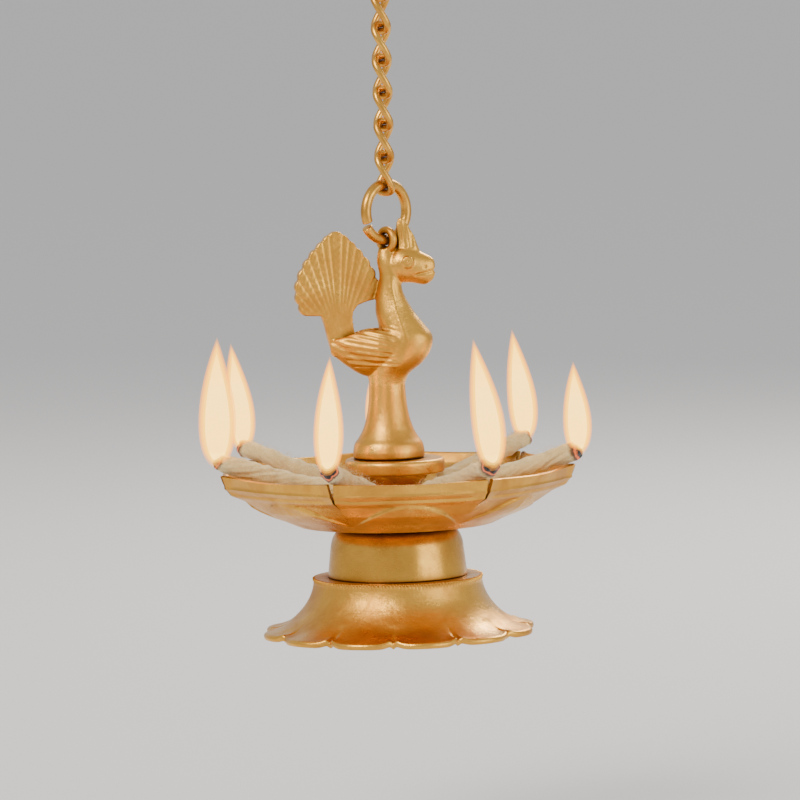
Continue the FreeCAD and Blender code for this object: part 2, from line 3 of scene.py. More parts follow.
import bmesh
import bpy
import numpy as np
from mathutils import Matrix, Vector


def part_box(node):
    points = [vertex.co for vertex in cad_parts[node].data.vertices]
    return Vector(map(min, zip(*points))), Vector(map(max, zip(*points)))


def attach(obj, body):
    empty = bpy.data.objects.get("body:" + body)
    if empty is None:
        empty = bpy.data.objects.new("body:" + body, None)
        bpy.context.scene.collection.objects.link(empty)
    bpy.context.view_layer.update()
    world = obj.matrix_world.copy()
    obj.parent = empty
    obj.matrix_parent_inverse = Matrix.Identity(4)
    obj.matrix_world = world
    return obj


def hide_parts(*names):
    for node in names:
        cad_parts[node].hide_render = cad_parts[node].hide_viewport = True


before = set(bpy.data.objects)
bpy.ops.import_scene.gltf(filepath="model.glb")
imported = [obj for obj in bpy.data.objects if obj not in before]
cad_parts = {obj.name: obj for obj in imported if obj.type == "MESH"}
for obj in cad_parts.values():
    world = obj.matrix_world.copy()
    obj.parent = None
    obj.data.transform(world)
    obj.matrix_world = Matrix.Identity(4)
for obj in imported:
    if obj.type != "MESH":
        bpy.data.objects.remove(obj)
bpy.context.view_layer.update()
MM = 0.001

# ---- Where the lamp hangs ----
# The foot's rim is height 0 in the drawing of the lamp, and the frame's origin is the top hook's
# bearing point. The foot's lowest point gives the drop between the two, and the first link the line
# that the chain hangs on.

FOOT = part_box("base_skirt")[0].z / MM
first_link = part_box("chain_link_01")
HANG = (first_link[0].x + first_link[1].x) / 2 / MM


def placed(points):
    """Points of the lamp's drawing, in millimetres above the foot, as points of the frame in metres."""
    return (np.asarray(points, float) + (0, 0, FOOT)) * MM


# ---- Camera, floor and lights ----
# A long lens, a little above the pan and turned slightly on its side, looks at the lamp against a
# pale plain floor. Big soft lamps stand around it as in a small studio.

VIEW_WIDTH = 256.9
VIEW_DISTANCE = 2000.0
VIEW_RISE = math.radians(5.0)
VIEW_ROLL = math.radians(-1.5)
VIEW_CENTRE = (2.2, 0.0, 75.4)
FLOOR_DROP = 70.0
FLOOR_REACH = 80.0
STUDIO_LAMPS = [
    ("key_lamp", (-0.7, -0.9, 0.9), 0.7, 16.0, (1.0, 0.96, 0.90)),
    ("fill_lamp", (1.1, -0.7, 0.2), 0.9, 7.0, (0.93, 0.96, 1.0)),
    ("rim_lamp", (0.5, 1.0, 0.8), 0.6, 14.0, (1.0, 0.97, 0.93)),
]


def new_object(name, data):
    """An object at the origin for a mesh, a lamp or a camera, put into the scene."""
    thing = bpy.data.objects.new(name, data)
    bpy.context.scene.collection.objects.link(thing)
    return thing


def feed(tree, socket, value):
    """Gives a socket its number or colour, or links it to another socket."""
    if isinstance(value, bpy.types.NodeSocket):
        tree.links.new(value, socket)
    else:
        socket.default_value = (*value, 1) if socket.type == "RGBA" else value


def fill(tree, node, **values):
    """Feeds a node's sockets by their names."""
    for label, value in values.items():
        feed(tree, node.inputs[label.replace("_", " ")], value)


def new_material(name):
    """A material, its node tree and its main shader."""
    material = bpy.data.materials.new(name)
    material.use_nodes = True
    return material, material.node_tree, material.node_tree.nodes["Principled BSDF"]


target = placed(VIEW_CENTRE)
back = np.array([0, -math.cos(VIEW_RISE), math.sin(VIEW_RISE)])
camera_data = bpy.data.cameras.new("camera")
camera_data.sensor_width = 36.0
camera_data.lens = camera_data.sensor_width * VIEW_DISTANCE / VIEW_WIDTH
camera_data.clip_end = 50.0
camera = new_object("camera", camera_data)
camera.location = target + back * VIEW_DISTANCE * MM
camera.rotation_euler = (math.pi / 2 - VIEW_RISE, 0, 0)
camera.rotation_euler.rotate_axis("Z", VIEW_ROLL)
bpy.context.scene.camera = camera

floor_height = placed((0, 0, -FLOOR_DROP))[2]
floor_corners = [(x * FLOOR_REACH, y * FLOOR_REACH, floor_height) for x, y in ((-1, -1), (1, -1), (1, 1), (-1, 1))]
floor_mesh = bpy.data.meshes.new("studio_floor")
floor_mesh.from_pydata(floor_corners, [], [(0, 1, 2, 3)])
floor = new_object("studio_floor", floor_mesh)
FLOOR_GREY, tree, shader = new_material("studio_floor")
fill(tree, shader, Base_Color=(0.72, 0.70, 0.67), Roughness=0.9)
floor.data.materials.append(FLOOR_GREY)

for name, spot, width, watts, colour in STUDIO_LAMPS:
    lamp_data = bpy.data.lights.new(name, "AREA")
    lamp_data.size = width
    lamp_data.energy = watts
    lamp_data.color = colour
    lamp = new_object(name, lamp_data)
    lamp.location = target + np.array(spot)
    lamp.rotation_euler = (-Vector(spot)).to_track_quat("-Z", "Y").to_euler()

world = bpy.data.worlds.new("studio")
world.use_nodes = True
fill(world.node_tree, world.node_tree.nodes["Background"], Color=(0.95, 0.96, 1.0), Strength=0.75)
bpy.context.scene.world = world

# ---- Brass wire: the chain's links ----
# Each link is a long loop of 2.3 mm drawn brass wire, butt-jointed on one leg and wrung about its
# own length, and hangs in the link above. Handling has rubbed the wire bright on its outside.

LINK_WIRE = 2.3
LINK_LENGTH = 15.0
LINK_WIDTH = 10.0
LINK_TWIST = 110.0
LINK_SQUARE = 3.0
LINK_START = -90.0
LINK_POINTS = 120
JOINT_NECK = 0.07
JOINT_HALF = 0.22
LINK_NAMES = [f"chain_link_{number:02d}" for number in range(1, 9)]


def unit(vectors):
    """Vectors scaled to length 1."""
    return vectors / np.linalg.norm(vectors, axis=-1, keepdims=True)


def full_turn(count):
    """Angles of a full circle in equal steps, without the last, which is the first again."""
    return np.linspace(0, 2 * np.pi, count, endpoint=False)


def hump(distance, width):
    """1 at distance 0, falling off on both sides as exp of minus the square of distance / width."""
    return np.exp(-((distance / width) ** 2))


def cells(index):
    """Four-sided faces between the neighbouring rows and columns of a grid of point numbers."""
    corners = (index[:-1, :-1], index[:-1, 1:], index[1:, 1:], index[1:, :-1])
    return np.stack(corners, -1).reshape(-1, 4)


def skin(name, grid, loop=False):
    """A closed mesh on a grid of points whose columns go round. With loop the rows go round too, and
    otherwise the first and last row are each fanned to their middle."""
    rows, columns = grid.shape[:2]
    points = grid.reshape(-1, 3)
    index = np.arange(rows * columns).reshape(rows, columns)
    if loop:
        index = np.vstack([index, index[:1]])
    index = np.hstack([index, index[:, :1]])
    faces = cells(index).tolist()
    if not loop:
        for row, middle in ((index[0], grid[0].mean(0)), (index[-1], grid[-1].mean(0))):
            hub = len(points)
            points = np.vstack([points, middle])
            faces += np.stack([row[:-1], row[1:], np.full(len(row) - 1, hub)], -1).tolist()
    mesh = bpy.data.meshes.new(name)
    mesh.from_pydata(points, [], faces)
    return finished(name, mesh)


def finished(name, mesh, sharp=40.0, weld=None):
    """An object for a mesh whose faces are turned outwards and shaded smooth, with creases kept
    above an angle, and points closer than weld joined first."""
    work = bmesh.new()
    work.from_mesh(mesh)
    if weld:
        bmesh.ops.remove_doubles(work, verts=work.verts, dist=weld)
    bmesh.ops.recalc_face_normals(work, faces=work.faces)
    work.to_mesh(mesh)
    work.free()
    mesh.shade_smooth()
    mesh.set_sharp_from_angle(angle=math.radians(sharp))
    return new_object(name, mesh)


def tube_grid(path, radius, toward, sides=20, around=False):
    """Circles of a given radius square to a path. The first point of each circle is on the side
    that toward points to, so that no circle turns against its neighbours."""
    path = np.asarray(path, float)
    along = unit(np.roll(path, -1, 0) - np.roll(path, 1, 0) if around else np.gradient(path, axis=0))
    side = unit(toward - (toward * along).sum(-1, keepdims=True) * along)
    other = np.cross(along, side)
    angle = full_turn(sides)[None, :, None]
    radius = np.broadcast_to(radius, len(path))[:, None, None]
    return path[:, None] + radius * (np.cos(angle) * side[:, None] + np.sin(angle) * other[:, None])


def along_line(path, place, wanted):
    """Points of a path at the wanted lengths along it, where place is the length at each of its own."""
    return np.stack([np.interp(wanted, place, path[:, k]) for k in range(3)], -1)


def link_grid(height):
    """A superellipse in a plane, turned about its long axis in proportion to height, as the centre
    line of round wire. The wire is a little thinner at the butt joint on one leg."""
    turn = full_turn(LINK_POINTS)
    power = 2 / LINK_SQUARE
    side = (LINK_WIDTH - LINK_WIRE) / 2
    half = (LINK_LENGTH - LINK_WIRE) / 2
    across = side * np.sign(np.cos(turn)) * np.abs(np.cos(turn)) ** power
    up = half * np.sign(np.sin(turn)) * np.abs(np.sin(turn)) ** power
    twist = np.radians(LINK_START - LINK_TWIST / 2 * up / half)
    path = np.stack([across * np.cos(twist), across * np.sin(twist), up], -1)
    step = np.linalg.norm(np.roll(path, -1, 0) - path, axis=1)
    place = np.concatenate([[0], np.cumsum(step)])
    even = np.linspace(0, place[-1], len(path), endpoint=False)
    path = along_line(np.vstack([path, path[:1]]), place, even)
    radius = LINK_WIRE / 2 * (1 - JOINT_NECK * hump(even - place[-1] / 2, JOINT_HALF))
    toward = path * (1, 1, 0.6)
    return tube_grid(path + (HANG, 0, height), radius, toward, around=True)


# Shared effects of the brass, as node groups: dulled patches, hollows darkened by ambient occlusion
# as dirt and painted shade, rubbed streaks, and the grain of a cast skin.


def new_group(name, inputs, outputs):
    """An empty shader node group with named sockets. Returns the group and its two end nodes."""
    group = bpy.data.node_groups.new(name, "ShaderNodeTree")
    for label, kind, value in inputs:
        socket = group.interface.new_socket(label, in_out="INPUT", socket_type="NodeSocket" + kind)
        if value is not None:
            socket.default_value = value
    for label, kind in outputs:
        group.interface.new_socket(label, in_out="OUTPUT", socket_type="NodeSocket" + kind)
    return group, group.nodes.new("NodeGroupInput"), group.nodes.new("NodeGroupOutput")


def add_node(tree, kind, settings=None, **values):
    """A node with its settings, and its named sockets filled in or linked."""
    node = tree.nodes.new("ShaderNode" + kind)
    for label, value in (settings or {}).items():
        setattr(node, label, value)
    fill(tree, node, **values)
    return node


def math_node(tree, operation, first, second):
    """A Math node whose inputs are sockets or numbers."""
    node = add_node(tree, "Math", {"operation": operation})
    feed(tree, node.inputs[0], first)
    feed(tree, node.inputs[1], second)
    return node.outputs[0]


def mix_colour(tree, amount, first, second):
    """A mix of two colours; the amount is the share of the second."""
    node = add_node(tree, "Mix", {"data_type": "RGBA"})
    for slot, value in ((0, amount), (6, first), (7, second)):
        feed(tree, node.inputs[slot], value)
    return node.outputs[2]


def ramp(tree, source, stops):
    """A colour ramp over a socket; each stop is (place, grey or colour)."""
    node = add_node(tree, "ValToRGB", Fac=source)
    elements = node.color_ramp.elements
    while len(elements) < len(stops):
        elements.new(0.5)
    for element, (place, value) in zip(elements, stops):
        element.position = place
        colour = (value, value, value) if isinstance(value, (int, float)) else value
        element.color = (*colour, 1)
    return node.outputs["Color"]


def patina_and_shade_group():
    """Masks of handled brass: dulled patches, hollows found by ambient occlusion for dirt and painted
    shade, and fine rubbed streaks.
    """
    group, start, end = new_group(
        "patina_and_shade",
        [("Vector", "Vector", None), ("Patch Scale", "Float", 90.0), ("Hollow Reach", "Float", 0.004)],
        [("Dull", "Float"), ("Hollow", "Float"), ("Rubbed", "Float")],
    )
    spot, scale, reach = (start.outputs[label] for label in ("Vector", "Patch Scale", "Hollow Reach"))
    broad = add_node(group, "TexNoise", Vector=spot, Scale=scale, Detail=6.0, Roughness=0.62, Distortion=0.4)
    shade = add_node(group, "AmbientOcclusion", {"samples": 8}, Distance=reach)
    stretch = add_node(group, "Mapping", Vector=spot, Scale=(1.0, 1.0, 5.0))
    fine = add_node(group, "TexNoise", Vector=stretch.outputs[0], Scale=900.0, Detail=4.0, Roughness=0.6)
    # The Hollow mask is ambient occlusion: it marks painted shade in hollows and between parts, as well as dirt.
    fill(
        group,
        end,
        Dull=ramp(group, broad.outputs["Fac"], [(0.36, 0.0), (0.66, 1.0)]),
        Hollow=ramp(group, shade.outputs["AO"], [(0.30, 1.0), (0.85, 0.0)]),
        Rubbed=fine.outputs["Fac"],
    )
    return group


def grain_group():
    """Height of a cast skin: sandy pits, finer tooth, and slow unevenness from hand filing."""
    group, start, end = new_group(
        "grain",
        [("Vector", "Vector", None), ("Grain Scale", "Float", 1500.0), ("Wave", "Float", 1.0)],
        [("Height", "Float")],
    )
    spot, scale, wave = (start.outputs[label] for label in ("Vector", "Grain Scale", "Wave"))
    sand = add_node(group, "TexNoise", Vector=spot, Scale=scale, Detail=5.0, Roughness=0.7)
    slow = add_node(group, "TexNoise", Vector=spot, Scale=210.0, Detail=2.0, Roughness=0.5)
    pits = add_node(group, "TexVoronoi", Vector=spot, Scale=420.0, Randomness=1.0)
    pit = ramp(group, pits.outputs["Distance"], [(0.05, 0.0), (0.22, 1.0)])
    waves = math_node(group, "MULTIPLY", slow.outputs["Fac"], wave)
    total = math_node(group, "ADD", math_node(group, "MULTIPLY", sand.outputs["Fac"], 0.35), waves)
    total = math_node(group, "ADD", total, math_node(group, "MULTIPLY", pit, 0.12))
    fill(group, end, Height=total)
    return group


PATINA_AND_SHADE = patina_and_shade_group()
GRAIN = grain_group()


def brass(name, bright, dull, grime_and_shade, smooth, rough, depth, grain, wave, patch, hollow=0.004):
    """Brass as it is handled: bright where rubbed, browner and rougher in patches, darkened by
    ambient occlusion in hollows (dirt and painted shade), with a grained skin of the given depth in metres."""
    material, tree, shader = new_material(name)
    spot = add_node(tree, "TexCoord").outputs["Object"]
    wear_and_shade = add_node(tree, "Group", {"node_tree": PATINA_AND_SHADE}, Vector=spot, Patch_Scale=patch, Hollow_Reach=hollow)
    streak = ramp(tree, wear_and_shade.outputs["Rubbed"], [(0.35, 0.0), (0.65, 1.0)])
    patchy = mix_colour(tree, wear_and_shade.outputs["Dull"], bright, dull)
    streaked = mix_colour(tree, math_node(tree, "MULTIPLY", streak, 0.18), patchy, dull)
    spread = math_node(tree, "MULTIPLY", wear_and_shade.outputs["Dull"], rough - smooth)
    total = math_node(tree, "ADD", spread, smooth)
    total = math_node(tree, "ADD", total, math_node(tree, "MULTIPLY", streak, 0.06))
    total = math_node(tree, "ADD", total, math_node(tree, "MULTIPLY", wear_and_shade.outputs["Hollow"], 0.25))
    skin_grain = add_node(tree, "Group", {"node_tree": GRAIN}, Vector=spot, Grain_Scale=grain, Wave=wave)
    relief = add_node(tree, "Bump", Strength=1.0, Distance=depth, Height=skin_grain.outputs["Height"])
    # Painted shade: the base colour goes to the dark third colour where ambient occlusion finds hollows and nearby
    # parts.
    fill(
        tree,
        shader,
        Base_Color=mix_colour(tree, wear_and_shade.outputs["Hollow"], streaked, grime_and_shade),
        Metallic=1.0,
        Roughness=total,
        Normal=relief.outputs["Normal"],
    )
    return material


# The third colour is dirt and painted shade, laid in the hollows and where the links hang in each other.
WIRE_BRASS = brass(
    "wire_brass", (0.84, 0.44, 0.07), (0.54, 0.25, 0.04), (0.34, 0.15, 0.025),
    smooth=0.18, rough=0.34, depth=0.00006, grain=2400.0, wave=0.6, patch=160.0, hollow=0.0016,
)

for name in LINK_NAMES:
    low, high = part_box(name)
    height = (low.z + high.z) / 2 / MM - FOOT
    link = skin(name + "_wire", placed(link_grid(height)), loop=True)
    link.data.materials.append(WIRE_BRASS)
    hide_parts(name)
    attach(link, name)

# ---- Top hook ----
# An S of 3 mm brass wire: the small eye is closed round the first link, and the open crook goes
# over whatever the lamp hangs from.

HOOK_WIRE = 3.0
HOOK_EYE = 3.8
HOOK_CROOK = 7.5
HOOK_SPAN = 17.3
HOOK_EYE_SWEEP = 305.0
HOOK_TURN = math.radians(-50.0)
DOME_STEPS = 7


def rounded_ends(path, radius, wear=0.35):
    """A path and its radii with both ends drawn in to a dome, as a cut wire that has been filed."""
    path = np.asarray(path, float)
    place = np.concatenate([[0], np.cumsum(np.linalg.norm(np.diff(path, axis=0), axis=1))])
    dome = wear * radius * (1 - np.cos(np.linspace(0, np.pi / 2, DOME_STEPS)))
    inner = np.linspace(dome[-1], place[-1] - dome[-1], len(path))[1:-1]
    even = np.concatenate([dome, inner, place[-1] - dome[::-1]])
    edge = np.minimum(even, place[-1] - even) / (wear * radius)
    shrink = np.sqrt(np.clip(1 - (1 - np.clip(edge, 0, 1)) ** 2, 0.0, 1))
    return along_line(path, place, even), radius * (1 - wear + wear * shrink)


def hook_path():
    """Two arcs joined by the straight line that touches both, in the hook's own upright plane."""
    lean = math.asin((HOOK_EYE + HOOK_CROOK) / HOOK_SPAN)
    lower = np.radians(np.linspace(HOOK_EYE_SWEEP, 0, 80)) + math.pi - lean
    upper = np.linspace(-lean, math.pi, 70)
    eye = np.stack([HOOK_EYE * np.cos(lower), HOOK_EYE * np.sin(lower)], -1)
    crook = np.stack([HOOK_CROOK * np.cos(upper), HOOK_SPAN + HOOK_CROOK * np.sin(upper)], -1)
    shank = eye[-1] + np.linspace(0, 1, 14)[1:-1, None] * (crook[0] - eye[-1])
    flat = np.vstack([eye, shank, crook])
    return np.stack([flat[:, 0] * math.cos(HOOK_TURN), flat[:, 0] * math.sin(HOOK_TURN), flat[:, 1]], -1)


hook_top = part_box("ceiling_hook")[1].z / MM - FOOT
hook_base = hook_top - HOOK_WIRE / 2 - HOOK_CROOK - HOOK_SPAN
hook_line, hook_radius = rounded_ends(hook_path() + (HANG, 0, hook_base), HOOK_WIRE / 2)
hook_face = np.broadcast_to((-math.sin(HOOK_TURN), math.cos(HOOK_TURN), 0.0), hook_line.shape)
hook = skin("ceiling_hook_wire", placed(tube_grid(hook_line, hook_radius, hook_face)))
hook.data.materials.append(WIRE_BRASS)
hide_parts("ceiling_hook")
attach(hook, "hook")

# ---- Hanging ring ----
# A ring of 3.4 mm brass wire, opened with pliers to go through the lug and closed by hand, so that
# its cut ends don't quite meet.

RING_WIRE = 3.4
RING_RADIUS = 9.0
RING_TURN = math.radians(43.0)
RING_GAP = math.radians(-160.0)
RING_SWEEP = 351.0
RING_DRIFT = 0.35
RING_SPRING = 0.25
RING_WAY = (math.cos(RING_TURN), math.sin(RING_TURN), 0)
RING_AXLE = (-math.sin(RING_TURN), math.cos(RING_TURN), 0)

low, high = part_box("hanging_ring")
ring_centre = np.array([HANG, 0, (low.z + high.z) / 2 / MM - FOOT])


def ring_path(count=140):
    """A circle that drifts sideways by part of its wire from one end to the other, and whose ends
    spring in and out by the fifth power of the way along."""
    angle = RING_GAP - np.radians(np.linspace(0, RING_SWEEP, count))
    drift = np.linspace(-RING_DRIFT, RING_DRIFT, count)
    reach = RING_RADIUS + RING_SPRING * np.linspace(-1, 1, count) ** 5
    flat = np.stack([reach * np.cos(angle), drift, reach * np.sin(angle)], -1)
    return flat @ np.array([RING_WAY, RING_AXLE, (0, 0, 1)])


ring_line, ring_radius = rounded_ends(ring_path() + ring_centre, RING_WIRE / 2, 0.2)
ring_tube = tube_grid(ring_line, ring_radius, ring_line - ring_centre, sides=24)
ring = skin("hanging_ring_wire", placed(ring_tube))
ring.data.materials.append(WIRE_BRASS)
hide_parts("hanging_ring")
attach(ring, "ring")

# ---- Peacock ----
# One sand casting in yellow brass: bell-footed stem, bird with folded wings, fan tail cut round its
# edge by hand, and the lug behind the head. It screws down on the stud, and its surfaces are filed.

PEDESTAL_X = -1.8
PEDESTAL_HEM = [(9.0, 56.85), (10.9, 56.9), (11.45, 57.4)]
PEDESTAL = [(11.5, 59.4), (10.9, 61.8), (9.6, 63.6), (8.2, 66.2), (7.0, 69.8), (6.25, 74.0), (5.85, 79.0),
            (5.8, 82.4)]
BREAST = [
    (81, -1.8, 5.8, 5.8), (84.1, -1.2, 6.8, 6.4), (87.3, 1.0, 8.6, 7.4), (91.2, 3.1, 9.3, 7.8),
    (95.8, 4.3, 8.9, 7.4), (99.3, 3.4, 7.5, 6.4), (103.8, 1.3, 6.2, 5.2), (108.3, 0.1, 4.8, 4.1),
    (112, -0.1, 3.8, 3.5), (116, 0.3, 3.7, 3.4), (120.4, -0.6, 3.5, 3.0), (124.4, -1.2, 2.3, 1.9),
]
CREST = [(120.4, 5.5, 5.2, 3.0), (124.5, 5.7, 3.7, 1.9), (128.2, 5.2, 2.8, 1.1), (131.6, 4.3, 1.9, 0.8),
         (133.9, 3.9, 0.9, 0.5)]
BACK = [(3, 90.6, 7.4, 7.4), (-4, 90, 7.0, 6.8), (-9.5, 89.6, 5.9, 5.5), (-14.6, 91.2, 4.4, 3.9),
        (-19.6, 93.4, 2.6, 2.4)]
HEAD = [(-0.6, 118.4, 3.4, 2.8), (3, 118.9, 5.6, 4.2), (7, 118.6, 5.6, 4.0), (11.2, 117.4, 5.0, 2.9),
        (13.6, 117.4, 3.6, 1.8), (14.5, 117.6, 2.2, 1.0)]
TAIL_ROOT = -16.5
TAIL_TWIST = math.radians(12.0)
TAIL_HALF = 1.6
FAN = (-0.7, 111.0, 20.0, 13.2)
SCALLOP = 2.7
FAN_LEFT = (-11.0, 103.4)
FAN_RIGHT = (12.0, 108.0)
TAIL_REAR = [(6.5, 89), (-2.5, 90), (-4.0, 95.5), (-5.0, 100.0), (-6.0, 103.2), (-8.5, 103.3)]
TAIL_FRONT = [(9.0, 107.4), (5.8, 106.3), (4.2, 104.0), (3.8, 101.0), (4.5, 97.6), (6.2, 95.4), (8.5, 94)]
LUG_HEIGHT = 127.0
LUG_RADIUS = 3.2
LUG_WIRE = 1.25
EYE = (5.9, 119.9)
EYE_RING = (4.2, 1.45, 0.5)
EYE_BALL = (3.95, 0.85)
FAN_PIVOT = (FAN[0] + 0.4, 95.0)
FEATHER_CUT = 0.17
BARB_PITCH = 2.3
NECK_RIDGE = 0.42
BEAK_CUT = 0.42
NOSTRIL_CUT = 0.35
QUILL_HEIGHT = 0.12
CAST_LATTICE = 0.33
CAST_ROUNDS = 3


def smooth_through(table, count):
    """A table of values drawn as cubic curves through its rows, with slopes from the neighbours."""
    table = np.asarray(table, float)
    slope = np.gradient(table, axis=0)
    place = np.linspace(0, len(table) - 1, count)
    row = np.minimum(place.astype(int), len(table) - 2)
    t = (place - row)[:, None]
    near, far = table[row], table[row + 1]
    lift, fall = slope[row], slope[row + 1]
    return (
        (2 * t**3 - 3 * t**2 + 1) * near
        + (t**3 - 2 * t**2 + t) * lift
        + (3 * t**2 - 2 * t**3) * far
        + (t**3 - t**2) * fall
    )


def round_axis(radius, turn, height):
    """Points at a radius, a turn and a height about an upright axis, from arrays of any like shape."""
    return np.stack(np.broadcast_arrays(radius * np.cos(turn), radius * np.sin(turn), height), -1)


def upright_form(sections, count=60, sides=56):
    """Ellipses (height, centre x, half length, half breadth) stacked upwards and drawn smoothly."""
    z, x, rx, ry = smooth_through(sections, count).T[:, :, None]
    angle = full_turn(sides)
    return np.stack(np.broadcast_arrays(x + rx * np.cos(angle), ry * np.sin(angle), z), -1)


def lengthwise_form(sections, count=50, sides=56):
    """Ellipses (x, centre height, half height, half breadth) set one after another along the bird."""
    x, z, rz, ry = smooth_through(sections, count).T[:, :, None]
    angle = full_turn(sides)
    return np.stack(np.broadcast_arrays(x, ry * np.sin(angle), z + rz * np.cos(angle)), -1)


def fan_valleys():
    """Points between the scallops: half width times 1 - |f|^1.8 on each side, at fractions f of the rise."""
    middle, base, rise, half = FAN
    left = np.array([-0.2, 0.0, 0.2, 0.38, 0.54, 0.68, 0.8, 0.905])
    right = left[:0:-1]
    x = np.concatenate([-half * (1 - np.abs(left) ** 1.8), half * (1 - np.abs(right) ** 1.8)]) + middle
    return np.stack([x, base + rise * np.concatenate([left, right])], -1)


def arc_points(start, end, radius, count=9):
    """Points of the arc of a given radius from start to end, bulging to the left of the way there."""
    chord = end - start
    half = np.linalg.norm(chord) / 2
    radius = max(radius, half)
    normal = np.array([-chord[1], chord[0]]) / (2 * half)
    centre = (start + end) / 2 - normal * math.sqrt(radius**2 - half**2)
    sweep = math.asin(min(half / radius, 1))
    angle = np.linspace(sweep, -sweep, count)[:, None]
    return centre + radius * (np.cos(angle) * normal - np.sin(angle) * chord / (2 * half))


def tail_grid():
    """The fan's outline shrunk step by step to its middle on one face, then grown again on the other."""
    valleys = fan_valleys()
    starts = np.vstack([FAN_LEFT, valleys])
    ends = np.vstack([valleys, FAN_RIGHT])
    scallops = [arc_points(first, last, SCALLOP)[:-1] for first, last in zip(starts, ends)]
    edge = np.vstack([TAIL_REAR, *scallops, FAN_RIGHT, TAIL_FRONT])
    size = np.linspace(0.04, 1, 26)[:, None, None]
    face = np.array(FAN[:2]) + size * (edge - FAN[:2])
    front, rear = (
        np.stack(np.broadcast_arrays(face[..., 0], side, face[..., 1]), -1) for side in (-TAIL_HALF, TAIL_HALF)
    )
    grid = np.vstack([front, rear[::-1]])
    c, s = math.cos(TAIL_TWIST), math.sin(TAIL_TWIST)
    x, y = grid[..., 0].copy(), grid[..., 1].copy()
    grid[..., 0], grid[..., 1] = TAIL_ROOT + c * x - s * y, s * x + c * y
    return grid


def wing_grid(side):
    """A leaf of lens section that lies on the body from the shoulder to the root of the tail. Its
    wall follows the body's half breadth at each x."""
    t = np.linspace(0, 1, 60)[:, None]
    angle = full_turn(48)
    x = 4.6 - 23.5 * t
    top = 98.6 - 2.6 * t + 1.2 * np.sin(np.pi * t)
    low = 93.6 - 6.4 * np.sin(np.pi * t**0.8) + 1.2 * t
    swell = np.sin(np.pi * np.clip(t, 0.004, 0.996)) ** 0.42
    half = (top - low) / 2 * swell
    wall = np.interp(-x, (-4.6, -3.0, 4.0, 9.5, 14.6, 19.6), (6.8, 7.0, 6.5, 5.1, 3.6, 2.3))
    lens = 1.55 * swell
    z = (top + low) / 2 + half * np.cos(angle)
    y = side * (wall - 0.18 - 0.045 * (z - 92.0) ** 2 * (z > 92.0) * 0.55 + lens * np.sin(angle))
    return np.stack(np.broadcast_arrays(x, y, z), -1)


def torus_grid(centre, across, ring, wire, count=40, sides=16):
    """A ring of round section, upright in the plane of a level direction."""
    turn = full_turn(count)[:, None]
    path = np.array(centre) + ring * (np.cos(turn) * np.array(across) + np.sin(turn) * np.array((0, 0, 1)))
    return tube_grid(path, wire, path - np.array(centre), sides, around=True)


def ball_grid(centre, radius, count=16):
    """A ball in rings from pole to pole."""
    rise = np.linspace(0.1, math.pi - 0.1, count)[:, None]
    return np.array(centre) + round_axis(np.sin(rise), full_turn(2 * count), np.cos(rise)) * radius


def point_values(points, field):
    """Three numbers for each of a mesh's points, in rows."""
    values = np.empty(len(points) * 3)
    points.foreach_get(field, values)
    return values.reshape(-1, 3)


def joined(pieces):
    """The first of some pieces after the others are joined to it."""
    with bpy.context.temp_override(active_object=pieces[0], selected_editable_objects=pieces):
        bpy.ops.object.join()
    return pieces[0]


def merged_cast(name, forms):
    """Overlapping closed forms (grid, loop) melted into one skin on a fine lattice, then smoothed."""
    parts = [skin(f"{name}_{number}", *form) for number, form in enumerate(forms)]
    solid = joined(parts)
    melt = solid.modifiers.new("melt", "REMESH")
    melt.mode = "VOXEL"
    melt.voxel_size = CAST_LATTICE
    ease = solid.modifiers.new("ease", "SMOOTH")
    ease.factor = 0.5
    ease.iterations = CAST_ROUNDS
    bpy.context.view_layer.update()
    result = bpy.data.meshes.new_from_object(solid.evaluated_get(bpy.context.evaluated_depsgraph_get()))
    bpy.data.objects.remove(solid)
    return result


